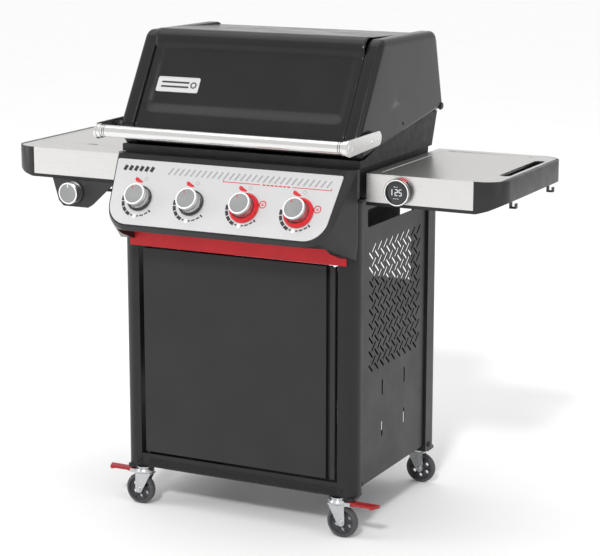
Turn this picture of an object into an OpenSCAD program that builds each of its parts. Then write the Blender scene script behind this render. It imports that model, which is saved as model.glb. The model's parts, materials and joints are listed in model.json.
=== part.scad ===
/* [Overall] */
// Width across both side tables
overall_w = 1350; // [1300:10:1400]
// Height of the side tables' top surface above the floor
table_z = 904; // [890:1:920]
// Distance from the origin to the line midway between front and rear wheels
cart_y = 58.8; // [50:0.5:75]

/* [Cart] */
// Half width of the cart over the legs
cart_half_w = 325; // [320:1:328]
// Half depth of the cart over the legs
cart_half_d = 254; // [250:1:258]
// Outer corner radius of the legs
leg_corner_r = 32; // [20:1:36]
// Width of each leg seen from the front
leg_w = 48; // [44:1:52]
// Depth of each front leg
front_leg_d = 40; // [36:1:46]
// Depth of each rear leg
rear_leg_d = 71; // [60:1:80]
// Wall thickness of the leg tubes
leg_wall = 2; // [1.5:0.1:3]
// Height of the lower end of the legs
leg_bottom_z = 104; // [102:0.5:106]
// Height of the upper end of the legs
leg_top_z = 838; // [835:1:840]
// Thickness of the sheet metal panels
sheet = 1.5; // [1:0.1:2]
// Depth of the side panels behind the legs' outer faces
panel_recess = 6.5; // [5:0.5:8]
// Height of the lower front rail
rail_h = 35; // [30:1:38]
// Lower edge of the coloured front beam
beam_z = 682; // [680:1:690]
// Height of the coloured front beam
beam_h = 38; // [34:1:40]
// Half width of the coloured front beam
beam_half_w = 300; // [290:1:305]

/* [Door] */
// Left edge of the door
door_left_x = -264; // [-266:1:-262]
// Right edge of the door
door_right_x = 270; // [266:1:272]
// Lower edge of the door
door_z = 146; // [144:1:150]
// Height of the door
door_h = 531; // [520:1:532]
// Thickness of the door
door_t = 18; // [16:1:20]
// Width of the finger pull channel
pull_w = 11; // [10:1:14]

/* [Casters] */
// Wheel radius
wheel_r = 40; // [36:1:40]
// Wheel width
wheel_w = 20; // [16:1:22]
// Swivel axis position across the cart
swivel_x = 276; // [270:1:280]
// Swivel axis position along the cart
swivel_y = 243; // [240:1:246]
// Distance from the swivel axis to the wheel axle
caster_trail = 12; // [8:1:16]

/* [Cookbox and lid] */
// Half width of the cookbox and of the lid
box_half_w = 328; // [326:1:330]
// Half width of the formed lid sheet between its end caps
lid_sheet_half_w = 289; // [285:1:292]
// Lid pivot, position along the depth
pivot_y = 248; // [246:0.5:249]
// Lid pivot height
pivot_z = 1010; // [1009:0.5:1012]
// Radius of the lid pivot pins
pivot_r = 5; // [4:0.5:6]

/* [Handle] */
// Handle tube centre, position along the depth
handle_y = -330; // [-335:1:-325]
// Handle tube centre height
handle_z = 977; // [975:1:980]
// Handle tube radius
handle_r = 15; // [13:0.5:16]
// Half length of the handle tube
handle_half_w = 338; // [334:1:340]

/* [Controls] */
// Tilt of the control panel away from horizontal
panel_tilt = 58.5; // [56:0.5:60]
// Height of the control panel's top edge
panel_top_z = 905; // [903:1:907]
// Position of the control panel's top edge along the depth
panel_top_y = -290; // [-292:1:-288]
// Length of the control panel down its slope
panel_len = 170; // [166:1:172]
// Knob positions across the panel
inner_knob_x = 72.1; // [70:0.1:75]
// Outer knob positions across the panel
outer_knob_x = 216.6; // [214:0.1:219]
// Distance from the panel's top edge down to the knob axes
knob_drop = 101.6; // [98:0.2:104]
// Knob radius
knob_r = 28; // [26:0.5:29]
// Height of the knob's face above the panel
knob_h = 34; // [30:0.5:36]
// How far a knob pushes in
knob_push = 3; // [2:0.5:3]

/* [Side tables] */
// Height of the table fascias
fascia_h = 68; // [64:1:70]
// Front face of the tables
table_front_y = -222; // [-224:1:-220]
// Inner end of the tables
table_in_x = 335; // [334:1:338]
// Outer end of the steel fascias
fascia_out_x = 606; // [600:1:610]
// Corner radius of the tables
table_corner_r = 62; // [55:1:66]
// Side knob position across the table
side_knob_x = -483; // [-490:1:-475]
// Side knob height
side_knob_z = 797; // [794:1:800]

/* [Hidden] */
$fn = 64;
eps = 0.01;
table_out_x = overall_w / 2;
table_back_y = -table_front_y;
table_rail = 14;
table_bottom_z = table_z - fascia_h - 8;
plate_t = 2;
box_bottom_z = 842;
side_step_z = 916;
wall_cast = 8;
trough_half_w = 250;
step_half_w = 318;
door_pin_x = -258;
door_pin_y = -248;
burner_x0 = 366;
burner_x1 = 648;
burner_y0 = -118;
burner_y1 = 196;
burner_z = 863.1;
branch_x = -266;
manifold_y = -290;
manifold_z = 786;
lever_x = 32;
lever_z = 88.5;
knob_xs = [-outer_knob_x, -inner_knob_x, inner_knob_x, outer_knob_x];
red_knobs = [inner_knob_x, outer_knob_x];
black = "#2b2c2e";
steel = "#c9c9c7";
red = "#b42d33";
zinc = "#b9bdc0";
plastic = "#1d1e20";

// Placement of everything in the final frame, from y = 0 midway between the wheels
module placed() translate([0, cart_y, 0]) children();

// Mirror to the left side when side is -1
module on_side(side) mirror([side < 0 ? 1 : 0, 0, 0]) children();

// Copy on both sides of the middle plane
module both_sides() for (side = [1, -1]) on_side(side) children();

// Mirror to the left when sx is -1 and to the front when sy is -1
module in_quarter(sx, sy) on_side(sx) mirror([0, sy < 0 ? 1 : 0, 0]) children();

// Box from its lowest and highest corner
module block(lo, hi) translate(lo) cube([hi[0] - lo[0], hi[1] - lo[1], hi[2] - lo[2]]);

// Extrusion along X of an outline drawn in the YZ plane
module along_x(x0, x1) translate([x0, 0, 0]) rotate([90, 0, 90]) linear_extrude(x1 - x0) children();

// Extrusion along Y of an outline drawn in the XZ plane
module along_y(y0, y1) translate([0, y1, 0]) rotate([90, 0, 0]) linear_extrude(y1 - y0) children();

// Angle of the outward normal of the line that touches two circles of an anticlockwise belt
function belt_angle(p, q) = atan2(q[1] - p[1], q[0] - p[0])
    - acos((p[2] - q[2]) / norm([q[0] - p[0], q[1] - p[1]]));

// The two points where that line touches the circles
function belt_edge(p, q, inset) = let (a = belt_angle(p, q), n = [cos(a), sin(a)])
    [[p[0], p[1]] + (p[2] - inset) * n, [q[0], q[1]] + (q[2] - inset) * n];

// Outline of a belt round circles [a, b, radius], listed anticlockwise
module belt(circles, inset = 0) {
    last = len(circles) - 1;
    polygon([for (i = [0:last]) each belt_edge(circles[i], circles[i == last ? 0 : i + 1], inset)]);
    for (c = circles)
        translate([c[0], c[1]]) circle(r = c[2] - inset);
}

// Rounded rectangle from corner to corner
module rounded_box_2d(lo, hi, r) {
    belt([[lo[0] + r, lo[1] + r, r], [hi[0] - r, lo[1] + r, r],
          [hi[0] - r, hi[1] - r, r], [lo[0] + r, hi[1] - r, r]]);
}

// ---------------------------------------------------------------- cart

// Section of a leg: a square tube with one rounded outer corner at the far end of both axes
module leg_section(w, d, inset) {
    r = leg_corner_r - inset;
    translate([inset, inset]) {
        square([w - 2 * inset - r, d - 2 * inset]);
        square([w - 2 * inset, d - 2 * inset - r]);
    }
    intersection() {
        translate([w - leg_corner_r, d - leg_corner_r]) circle(r);
        translate([inset, inset]) square([w, d]);
    }
}

// One leg tube standing at the corner given by the signs sx and sy
module leg(sx, sy, depth) {
    floor_t = 3;
    placed()
    in_quarter(sx, sy)
    translate([cart_half_w - leg_w, cart_half_d - depth, leg_bottom_z])
    difference() {
        linear_extrude(leg_top_z - leg_bottom_z) leg_section(leg_w, depth, 0);
        translate([0, 0, floor_t])
            linear_extrude(leg_top_z) leg_section(leg_w, depth, leg_wall);
    }
}

module leg_front_left() color(black) leg(-1, -1, front_leg_d);
module leg_front_right() color(black) leg(1, -1, front_leg_d);
module leg_rear_left() color(black) leg(-1, 1, rear_leg_d);
module leg_rear_right() color(black) leg(1, 1, rear_leg_d);

// One slot of the herringbone field, with chamfered ends
module slot_2d(length, width) {
    c = width / 3;
    a = length / 2;
    b = width / 2;
    polygon([[-a, -b + c], [-a + c, -b], [a - c, -b], [a, -b + c],
             [a, b - c], [a - c, b], [-a + c, b], [-a, b - c]]);
}

// The herringbone ventilation field, drawn with the depth along the first axis
module herringbone_2d() {
    pitch = 33.6;
    row_pitch = 17.6;
    rows = 18;
    columns = 9;
    tilt = 41;
    for (row = [0:rows - 1], col = [0:columns - 1])
        translate([-153 + pitch * (col + (row % 2 == 0 ? 0.5 : 0)), 708 - row_pitch * row])
            rotate(row % 2 == 0 ? tilt : -tilt)
                slot_2d(31, 5.6);
}

// Sheet of a side panel, seen from the side
module side_sheet_2d(y0, y1, z0, z1) {
    difference() {
        translate([y0, z0]) square([y1 - y0, z1 - z0]);
        rounded_box_2d([-176, 764], [106, 808], 8);
        herringbone_2d();
        for (y = [-82, 53], z = [325, 218])
            rounded_box_2d([y - 3.5, z], [y + 3.5, z + 40], 3);
    }
}

// A side panel between the legs, with folded edges against both legs
module side_panel(side) {
    y0 = -cart_half_d + front_leg_d;
    y1 = cart_half_d - rear_leg_d;
    x1 = cart_half_w - panel_recess;
    z0 = 121;
    z1 = 836;
    fold = 18;
    placed() on_side(side) {
        along_x(x1 - sheet, x1) side_sheet_2d(y0, y1, z0, z1);
        block([x1 - fold, y0, z0], [x1 - sheet + eps, y0 + sheet, z1]);
        block([x1 - fold, y1 - sheet, z0], [x1 - sheet + eps, y1, z1]);
    }
}

module side_panels() color(black) {
    side_panel(1);
    side_panel(-1);
}

// Sheet across the back between the rear legs, with folded edges
module back_panel() {
    x1 = cart_half_w - leg_w;
    y0 = cart_half_d - 20;
    color(black) placed()
    difference() {
        block([-x1, y0, 190], [x1, y0 + 14, 548]);
        block([-x1 + sheet, y0 - 1, 190 + sheet], [x1 - sheet, y0 + 14 - sheet, 548 - sheet]);
    }
}

// Floor of the cabinet with turned up edges
module bottom_shelf() {
    x1 = cart_half_w - leg_w;
    y1 = 222;
    lip = 16;
    color(black) placed()
    difference() {
        block([-x1, -y1, leg_bottom_z + 12], [x1, y1 + 8, leg_bottom_z + 12 + lip]);
        block([-x1 + sheet, -y1 + sheet, leg_bottom_z + 12 + sheet],
            [x1 - sheet, y1 + 8 - sheet, leg_bottom_z + 40]);
        translate([0, 30, 0]) cylinder(h = 200, r = 90);
    }
}

// Hollow rail under the door with fine grooves along its face
module lower_front_rail() {
    x1 = cart_half_w - leg_w;
    y0 = -cart_half_d + 1;
    y1 = -cart_half_d + 32;
    z0 = leg_bottom_z;
    color(black) placed()
    difference() {
        block([-x1, y0, z0], [x1, y1, z0 + rail_h]);
        block([-x1 + 2, y0 + 3, z0 + 2], [x1 - 2, y1 - 2, z0 + rail_h - 2]);
        for (z = [6:5:21])
            block([-x1 + 22, y0 - 1, z0 + z], [x1 + 1, y0 + 1.2, z0 + z + 1.6]);
    }
}

// Channel between the rear legs that carries the rear of the cookbox
module rear_top_beam() {
    x1 = cart_half_w - leg_w;
    y1 = cart_half_d - 6;
    y0 = cart_half_d - 46;
    color(black) placed()
    difference() {
        block([-x1, y0, 786], [x1, y1, leg_top_z]);
        block([-x1 + 2, y0 - 1, 788], [x1 - 2, y1 - 2, leg_top_z - 2]);
    }
}

// Coloured beam across the front, lapped over the faces of the front legs
module front_beam() {
    x_in = cart_half_w - leg_w - 0.5;
    y0 = -cart_half_d - 3;
    z1 = beam_z + beam_h;
    color(red) placed() {
        block([-beam_half_w, y0, beam_z], [beam_half_w, -cart_half_d, z1]);
        for (z = [beam_z, z1 - sheet])
            block([-x_in, -cart_half_d - eps, z], [x_in, -cart_half_d + 26, z + sheet]);
    }
}

// Corner plates that hold the caster stems
module caster_plates() {
    z0 = 97;
    color(black) placed()
    for (sx = [1, -1], sy = [1, -1])
        in_quarter(sx, sy)
        difference() {
            translate([0, 0, z0]) linear_extrude(leg_bottom_z - z0)
                rounded_box_2d([swivel_x - 24, swivel_y - 34], [cart_half_w - 4, swivel_y + 11], 8);
            translate([swivel_x, swivel_y, z0 - 1]) cylinder(h = 20, r = 5.05);
        }
}

// Domed screw head with a round drive hole
module screw_head(r) rotate_extrude()
    polygon([[0, 0], [r, 0], [0.9 * r, 0.4 * r], [0.6 * r, 0.65 * r], [0.3 * r, 0.65 * r],
             [0.3 * r, 0.4 * r], [0, 0.4 * r]]);

// Dark screw heads on the outside of the cart
module cart_screws() {
    color("#101112") placed() both_sides() {
        for (p = [[cart_half_w - panel_recess, -203, 128], [cart_half_w, 205, 119]])
            translate(p) rotate([0, 90, 0]) screw_head(7);
        translate([286, -cart_half_d, 119]) rotate([90, 0, 0]) screw_head(5);
    }
}

// ---------------------------------------------------------------- cookbox

// Side outline of the cookbox above its step, up to the parting line
function box_upper_outline() = [[-240, side_step_z], [192, side_step_z], [224, 1001], [28, 1001],
    [-6, 992], [-218, 934], [-240, 934]];

// Side outline of the cookbox below its step
function box_lower_outline() = [[-240, box_bottom_z], [182, box_bottom_z],
    [191.2, side_step_z + eps], [-240, side_step_z + eps]];

// Side outline of the trough between the legs
function trough_outline() = [[-228, box_bottom_z + eps], [-228, 770], [-120, 716], [172, 716],
    [172, box_bottom_z + eps]];

// Rail that the grease tray slides on, hung under the trough
module tray_rail() {
    block([150, -160, 682], [152, 172, 716 + eps]);
    block([140, -160, 682], [152, 172, 683.5]);
}

// Arm behind the cookbox that carries the lid's pivot pin
module pivot_ear() {
    along_x(294, 300)
        difference() {
            union() {
                translate([pivot_y, pivot_z]) circle(8);
                polygon([[200, 945], [214, 975], [pivot_y + 4, pivot_z - 6], [pivot_y - 5, pivot_z + 6],
                         [216, 996], [200, 980]]);
            }
            translate([pivot_y, pivot_z]) circle(pivot_r + 0.05);
        }
}

// Cast cookbox with trough, burner holes, grease outlet and pivot arms
module cookbox() {
    t = wall_cast;
    color("#232425") placed()
    difference() {
        union() {
            along_x(-box_half_w + 1, box_half_w - 1) polygon(box_upper_outline());
            along_x(-step_half_w, step_half_w) polygon(box_lower_outline());
            along_x(-trough_half_w, trough_half_w) polygon(trough_outline());
            both_sides() pivot_ear();
            both_sides() tray_rail();
        }
        // chamber above the step, open at the top
        along_x(-box_half_w + 1 + t, box_half_w - 1 - t)
            polygon([[-232, 916], [186, 916], [218, 1010], [-232, 1010]]);
        // chamber below the step
        along_x(-step_half_w + t, step_half_w - t)
            polygon([[-232, 850], [178, 850], [187, 917], [-232, 917]]);
        // trough
        along_x(-trough_half_w + t, trough_half_w - t)
            polygon([[-220, 851], [-220, 775], [-118, 724], [164, 724], [164, 851]]);
        // grease outlet
        block([-60, -40, 700], [60, 60, 730]);
        for (x = knob_xs)
            translate([x, -225, burner_z]) rotate([90, 0, 0]) cylinder(h = 30, r = 13.05);
    }
}

// Pivot pins of the lid and of the door
module hinge_pins() {
    color(zinc) placed() {
        both_sides()
            translate([290, pivot_y, pivot_z]) rotate([0, 90, 0]) {
                cylinder(h = box_half_w + 0.5 - 290, r = pivot_r);
                translate([0, 0, box_half_w + 0.5 - 290]) cylinder(h = 2.5, r = 8);
            }
        translate([door_pin_x, door_pin_y, leg_bottom_z + rail_h]) cylinder(h = 18, r = 3);
        translate([door_pin_x, door_pin_y, beam_z - 17]) cylinder(h = 17, r = 3);
    }
}

// Straight burner tubes with a row of gas ports along both sides
module burner_tubes() {
    z = burner_z;
    color("#8f8f8b") placed()
    for (x = knob_xs)
        translate([x, 0, z])
            difference() {
                rotate([90, 0, 0]) translate([0, 0, -176]) cylinder(h = 422, r = 13);
                rotate([90, 0, 0]) translate([0, 0, -174]) cylinder(h = 430, r = 11.6);
                translate([0, -242, 6]) block([-7, -3, 0], [7, 12, 20]);
            }
}

// Bent bars that cover the burners and the gaps between them
module heat_deflectors() {
    color("#4a4a4a") placed()
    for (x = concat(knob_xs, [-144.4, 0, 144.4]), low = [abs(x) == 144.4 || x == 0 ? 1 : 0])
        translate([x, 0, 890 - 12 * low])
            along_y(-232, 180)
                polygon([[-28, -12], [0, 10], [28, -12], [28, -9], [0, 13], [-28, -9]]);
}

// One half of the cooking grate: a frame with bars along the depth
module grate_half() {
    x0 = 1;
    x1 = box_half_w - 1 - wall_cast - 1;
    y0 = -231;
    y1 = 185;
    z0 = side_step_z;
    h = 14;
    block([x0, y0, z0], [x1, y0 + 9, z0 + h]);
    block([x0, y1 - 9, z0], [x1, y1, z0 + h]);
    for (i = [0:15])
        block([x0 + i * (x1 - x0 - 8) / 15, y0 + 4, z0 + 3],
            [x0 + 8 + i * (x1 - x0 - 8) / 15, y1 - 4, z0 + h]);
    for (y = [-95, 45])
        block([x0, y, z0], [x1, y + 8, z0 + 8]);
}

module cooking_grates() color("#1b1b1c") placed() both_sides() grate_half();

// Wire rack above the rear of the grates, standing on the side walls of the cookbox
module warming_rack() {
    z = 1048;
    x1 = 316;
    wire = 3;
    color(steel) placed() {
        for (y = [95, 117, 139, 161, 183])
            translate([-x1, y, z]) rotate([0, 90, 0]) cylinder(h = 2 * x1, r = wire);
        both_sides()
            for (x = [60, 190, x1])
                translate([x, 88, z]) rotate([-90, 0, 0]) cylinder(h = 102, r = wire);
        both_sides()
            for (y = [117, 161])
                block([x1 - 2, y - 3, 1001], [x1 + 5, y + 3, 1003.5]);
        both_sides()
            for (y = [117, 161])
                block([x1 - 2, y - 3, 1001], [x1 + 2, y + 3, z]);
    }
}

// ---------------------------------------------------------------- lid

// Side outline of the lid's end caps as belt circles
function lid_belt() = [[-226, 947, 12], [250, 1017, 14], [190, 1174, 32], [-98, 1174, 35],
    [-238, 988, 12]];

// Region above the parting line, drawn with the depth along the first axis
module above_parting(gap) {
    polygon([[-300, 933], [-216, 936 + gap], [-6, 994 + gap], [28, 1003 + gap], [300, 1003 + gap],
             [300, 1300], [-300, 1300]]);
}

// Side outline of the formed sheet
module lid_sheet_2d(inset) {
    body = lid_belt();
    belt(concat([[-220, 960, 12]], [for (i = [1:4]) body[i]]), 6 + inset);
    translate([-104, 1178]) circle(35 - inset);
    translate([-246 + inset, 941 + inset]) square([30, 50 - 3 * inset]);
}

// Front, top and back of the lid in one formed sheet
module lid_sheet() {
    w = lid_sheet_half_w;
    color(black) placed()
    difference() {
        along_x(-w, w)
            intersection() {
                lid_sheet_2d(0);
                union() {
                    above_parting(0);
                    translate([-300, 941]) square([150, 100]);
                }
            }
        along_x(-w - 1, w + 1) {
            lid_sheet_2d(2);
            translate([-228, 900]) square([480, 110]);
        }
    }
}

// One cast end cap with a stepped outer edge and a boss for the pivot pin
module lid_end(side) {
    w = lid_sheet_half_w;
    wall = 5;
    step = 6;
    color("#252627") placed() on_side(side)
    difference() {
        union() {
            along_x(w, box_half_w - step) cap_2d(1);
            along_x(box_half_w - step - eps, box_half_w) cap_2d(8);
        }
        difference() {
            along_x(w - 1, box_half_w - wall) cap_2d(1 + wall + 4);
            along_x(303, box_half_w) translate([pivot_y, pivot_z]) circle(11);
        }
        // slot for the cookbox's pivot arm
        block([w - 2, 205, 990], [303.5, pivot_y + 8, pivot_z + 7]);
        translate([280, pivot_y, pivot_z]) rotate([0, 90, 0]) cylinder(h = 60, r = pivot_r + 0.06);
    }
}

// Outline of an end cap above the parting line
module cap_2d(inset) {
    intersection() {
        belt(lid_belt(), inset);
        above_parting(0);
    }
}

module lid_end_left() lid_end(-1);
module lid_end_right() lid_end(1);

// Handle tube with a thicker ring at each end
module handle_tube() {
    color(steel) placed()
    translate([0, handle_y, handle_z]) rotate([0, 90, 0])
        rotate_extrude() {
            translate([0, -handle_half_w]) square([handle_r, 2 * handle_half_w]);
            for (s = [1, -1])
                translate([0, s * (handle_half_w - 5) - 5]) square([handle_r + 2.5, 10]);
        }
}

// Flat stadium brackets with spacers against the lid's end caps
module handle_brackets() {
    x0 = handle_half_w;
    x1 = handle_half_w + 5;
    rear_y = -172;
    rear_z = 981;
    color(steel) placed() both_sides() {
        along_x(x0, x1) belt([[handle_y, handle_z, 20], [rear_y, rear_z, 17.5]]);
        for (y = [-180, -212])
            translate([box_half_w, y, rear_z]) rotate([0, 90, 0]) cylinder(h = x0 - box_half_w + eps, r = 7);
    }
}

// ---------------------------------------------------------------- door

// Section of the door: a pan with folded edges and a full height finger pull channel
module door_section() {
    y0 = -cart_half_d;
    pull_x = door_right_x - 13 - pull_w;
    pull_d = 13;
    difference() {
        translate([door_left_x, y0]) square([door_right_x - door_left_x, door_t]);
        translate([door_left_x + sheet, y0 + sheet])
            square([pull_x - door_left_x - 2 * sheet, door_t]);
        translate([pull_x, y0 - 1]) square([pull_w, pull_d + 1]);
        translate([pull_x + pull_w + sheet, y0 + sheet])
            square([door_right_x - pull_x - pull_w - 2 * sheet, door_t]);
        translate([pull_x - 5, y0 + pull_d + sheet]) square([40, door_t]);
    }
}

// Door pan with closed ends and pivot blocks at its hinged edge
module door_panel() {
    y0 = -cart_half_d;
    x0 = door_left_x + sheet - eps;
    pull_x = door_right_x - 13 - pull_w;
    z1 = door_z + door_h;
    color(black) placed()
    difference() {
        union() {
            translate([0, 0, door_z]) linear_extrude(door_h) door_section();
            for (z = [door_z, z1 - sheet])
                block([x0, y0 + 1, z], [pull_x - sheet + eps, y0 + door_t, z + sheet]);
            for (z = [door_z, z1 - 14])
                block([x0, y0 + 1, z], [x0 + 16, y0 + door_t, z + 14]);
        }
        translate([door_pin_x, door_pin_y, door_z - 1]) cylinder(h = 13, r = 3.06);
        translate([door_pin_x, door_pin_y, z1 - 12.5]) cylinder(h = 20, r = 3.06);
    }
}

// ---------------------------------------------------------------- controls

// Frame of the control panel: z points out of its face and y up its slope
module at_panel() translate([0, panel_top_y, panel_top_z]) rotate([panel_tilt, 0, 0]) children();

// Outline of the control panel, grown by a margin
module panel_outline(margin) {
    lower_r = 57;
    upper_r = 4;
    lower = [240, lower_r - panel_len];
    upper = [304, -upper_r];
    belt([[lower[0], lower[1], lower_r], [upper[0], upper[1], upper_r],
          [-upper[0], upper[1], upper_r], [-lower[0], lower[1], lower_r]], -margin);
}

// Body of the housing between the panel and the legs, shrunk by a wall thickness t
module housing_body(t) {
    y_leg = -cart_half_d;
    hull() {
        at_panel() translate([0, 0, -4 - t]) linear_extrude(1.4) panel_outline(4 - t, $fn = 32);
        at_panel() translate([0, 0, -18]) linear_extrude(2) panel_outline(11 - t, $fn = 32);
        block([-312 + t, panel_top_y + 11, 905], [312 - t, panel_top_y + 18, 917 - t]);
        block([-box_half_w + t, y_leg - 2, 740], [box_half_w - t, y_leg - eps, 916 - t]);
        block([-cart_half_w + t, y_leg - 6, 700 + t], [cart_half_w - t, y_leg - 3.5, 740]);
    }
}

// Room under the housing for the coloured beam, raised by t
module housing_notch(t) {
    w = 286 + t;
    along_x(-w, w)
        polygon([[-420, 600], [-250, 600], [-250, 723 + t], [-366, 742 + t], [-420, 742 + t]]);
}

// Dark housing behind and round the control panel, open towards the cart
module control_housing() {
    wall = 3;
    lip_y = -245;
    color(plastic) placed()
    difference() {
        union() {
            difference() {
                housing_body(0);
                housing_notch(0);
                // clearance round the ends of the coloured beam
                block([-beam_half_w - 0.3, -cart_half_d - 3.3, 600],
                    [beam_half_w + 0.3, -cart_half_d + 1, beam_z + beam_h + 0.3]);
            }
            block([-box_half_w, -cart_half_d - eps, 846], [box_half_w, lip_y, 916]);
        }
        difference() {
            union() {
                housing_body(wall);
                block([-box_half_w + wall, -cart_half_d - 4, 742], [box_half_w - wall, -240, 912]);
                block([-282, -cart_half_d - 12, 730], [282, -240, 760]);
            }
            housing_notch(wall);
        }
        at_panel()
            for (x = knob_xs)
                translate([x, -knob_drop, -20]) cylinder(h = 30, r = 9);
    }
}

// Metal face of the control panel
module control_panel() {
    color(steel) placed() at_panel()
    difference() {
        translate([0, 0, -2.5]) linear_extrude(2.5) panel_outline(0);
        for (x = knob_xs)
            translate([x, -knob_drop, -10]) cylinder(h = 30, r = 7);
    }
}

// Fixed rings round the bases of the panel knobs
module knob_bezels() {
    placed() at_panel()
    for (x = knob_xs)
        color(len([for (r = red_knobs) if (r == x) 1]) > 0 ? red : plastic)
            translate([x, -knob_drop, 0])
                rotate_extrude()
                    polygon([[29.3, 0], [35, 0], [35, 6], [33.5, 9], [30.5, 9.6], [29.3, 9]]);
}

// Frame of one knob: z along its axis, out of the panel; number 5 is the side burner's
module at_knob(i) {
    if (i < 5)
        at_panel() translate([knob_xs[i - 1], -knob_drop, 0]) children();
    else
        translate([side_knob_x, table_front_y - 2, side_knob_z]) rotate([90, 0, 0]) children();
}

// Valve stem with a flat on its outer end
module stem(i) {
    color("#8a8a86") placed() at_knob(i)
    difference() {
        translate([0, 0, -44]) cylinder(h = 60, r = 4);
        block([2.6, -6, 6], [8, 6, 20]);
    }
}

// Turned knob with a grip band and a dished face
module knob(i) {
    r = knob_r;
    h = knob_h;
    // room under the skirt for the push
    z0 = knob_push + 1;
    bore = 4.06;
    color("#8e9092") placed() at_knob(i)
        rotate_extrude()
            polygon([[bore, z0], [r - 1, z0], [r - 0.4, z0 + 1], [r, h - 6], [r - 0.4, h - 2], [r - 2, h],
                     [r - 3.6, h], [r - 4.2, h - 0.8], [0, h - 0.8], [0, 20], [bore, 20]]);
}

module stem_1() stem(1);
module stem_2() stem(2);
module stem_3() stem(3);
module stem_4() stem(4);
module stem_5() stem(5);
module knob_1() knob(1);
module knob_2() knob(2);
module knob_3() knob(3);
module knob_4() knob(4);
module knob_5() knob(5);

// Valve body with the blind bore that its stem turns in
module valve(depth) {
    difference() {
        union() {
            translate([0, 0, -depth]) cylinder(h = depth - 24, r = 13);
            block([-10, -10, -depth + 4], [10, 10, -30]);
        }
        translate([0, 0, -45]) cylinder(h = 40, r = 4.06);
    }
}

// Gas manifold with its valves, burner nozzles and inlet
module gas_manifold() {
    pipe_r = 9;
    inlet_x = 264;
    inlet_z = 764;
    // where the nozzle pipes leave the valves and where they turn into the burners
    start = [manifold_y - 10, manifold_z + 14];
    turn = [-262, burner_z];
    rise = turn - start;
    color("#9a8f6a") placed() {
        at_panel()
            for (x = knob_xs)
                translate([x, -knob_drop, 0]) valve(62);
        translate([branch_x - pipe_r, manifold_y, manifold_z]) rotate([0, 90, 0])
            cylinder(h = inlet_x - branch_x + 2 * pipe_r, r = pipe_r);
        for (x = knob_xs) {
            translate([x, start[0], start[1]]) rotate([-atan2(rise[0], rise[1]), 0, 0])
                cylinder(h = norm(rise), r = 4);
            translate([x, turn[0] - 3, turn[1]]) rotate([-90, 0, 0]) cylinder(h = 25, r = 5);
        }
        // drop pipe and inlet stub for the gas hose, pointing into the cabinet
        translate([inlet_x, manifold_y, inlet_z - 11])
            cylinder(h = manifold_z - inlet_z + 11, r = pipe_r + 1);
        translate([inlet_x, manifold_y, inlet_z]) rotate([-90, 0, 0]) {
            cylinder(h = 52, r = pipe_r);
            cylinder(h = 78, r = 8);
        }
        // branch for the side burner
        translate([branch_x, manifold_y, side_knob_z]) rotate([-90, 0, 0]) cylinder(h = 10, r = 6);
    }
}

// ---------------------------------------------------------------- side tables

// Plan of a table, shrunk by an inset
module table_plan(inset) {
    r = table_corner_r;
    cx = table_out_x - r;
    cy = table_back_y - r;
    intersection() {
        belt([[cx, -cy, r], [cx, cy, r], [-100, cy, r], [-100, -cy, r]], inset);
        translate([table_in_x + inset, -500]) square([1000, 1000]);
    }
}

// Plan of the steel top, which stops short of the outer rail
module top_plan() {
    intersection() {
        table_plan(0);
        translate([0, -500]) square([fascia_out_x, 1000]);
    }
    intersection() {
        table_plan(4);
        translate([0, -500]) square([table_out_x - table_rail, 1000]);
    }
}

// Rail round the table with arms on to the legs, ribs and room for the fascia
module table_frame() {
    h = table_z - plate_t - table_bottom_z;
    difference() {
        union() {
            translate([0, 0, table_bottom_z]) linear_extrude(h)
                difference() {
                    table_plan(0);
                    table_plan(table_rail);
                }
            translate([0, 0, table_z - plate_t - eps]) linear_extrude(plate_t + eps)
                difference() {
                    table_plan(0);
                    top_plan();
                }
        }
        block([0, table_front_y - 1, table_bottom_z + 8],
            [fascia_out_x, table_front_y + sheet, table_z - plate_t]);
        // the outer rail is lower than the front
        along_y(-300, 300)
            polygon([[612, 800], [612, table_bottom_z], [640, table_bottom_z + 8],
                     [table_out_x + 1, table_bottom_z + 24], [table_out_x + 1, 800]]);
    }
    // arms that rest on the legs and carry the cookbox
    for (y = [[-244, -204], [168, 220]])
        block([286, y[0], leg_top_z], [table_in_x + eps, y[1], box_bottom_z]);
}

// Rib under the top along X
module rib_x(y, x0, x1) block([x0, y, table_z - 30], [x1, y + 3, table_z - plate_t]);

module right_table_frame() {
    x0 = table_in_x + table_rail - eps;
    x1 = table_out_x - table_rail + eps;
    color(plastic) placed() {
        table_frame();
        for (y = [-150, 0, 165])
            rib_x(y, x0, y == 0 ? 612 : x1);
        block([610, -150, table_z - 30], [613, 167, table_z - plate_t]);
    }
}

// Steel top with a sunk field and a long slot beside the outer rail
module right_table_top() {
    z0 = table_z - plate_t;
    color(steel) placed()
    difference() {
        translate([0, 0, z0]) linear_extrude(plate_t)
            difference() {
                top_plan();
                rounded_box_2d([627, -115], [651, 141], 11.9);
            }
        translate([0, 0, table_z - 0.8]) linear_extrude(1)
            rounded_box_2d([360, -196], [600, 196], 12);
    }
}

// Steel fascias across the fronts of both tables
module table_fascias() {
    color(steel) placed() both_sides()
        block([table_in_x, table_front_y, table_bottom_z + 8],
            [fascia_out_x, table_front_y + sheet, table_z - plate_t]);
}

// Round display pod on the right fascia
module thermometer_pod() {
    color(plastic) placed()
    translate([420, table_front_y, 866]) rotate([90, 0, 0])
        rotate_extrude()
            polygon([[0, 0], [29, 0], [31.5, 3], [32.5, 14], [32.5, 16.5], [31, 18], [28, 18],
                     [27.2, 17], [0, 17]]);
}

// Small hooks under the outer rail of the right table
module tool_hooks() {
    x = table_out_x - table_rail;
    color(plastic) placed()
    for (y = [-118, 138])
        along_y(y - 7, y + 7)
            polygon([[x - 3, 870], [x, 870], [x, 833], [x + 10, 833], [x + 10, 842], [x + 13, 842],
                     [x + 13, 830], [x - 3, 830]]);
}

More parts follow.
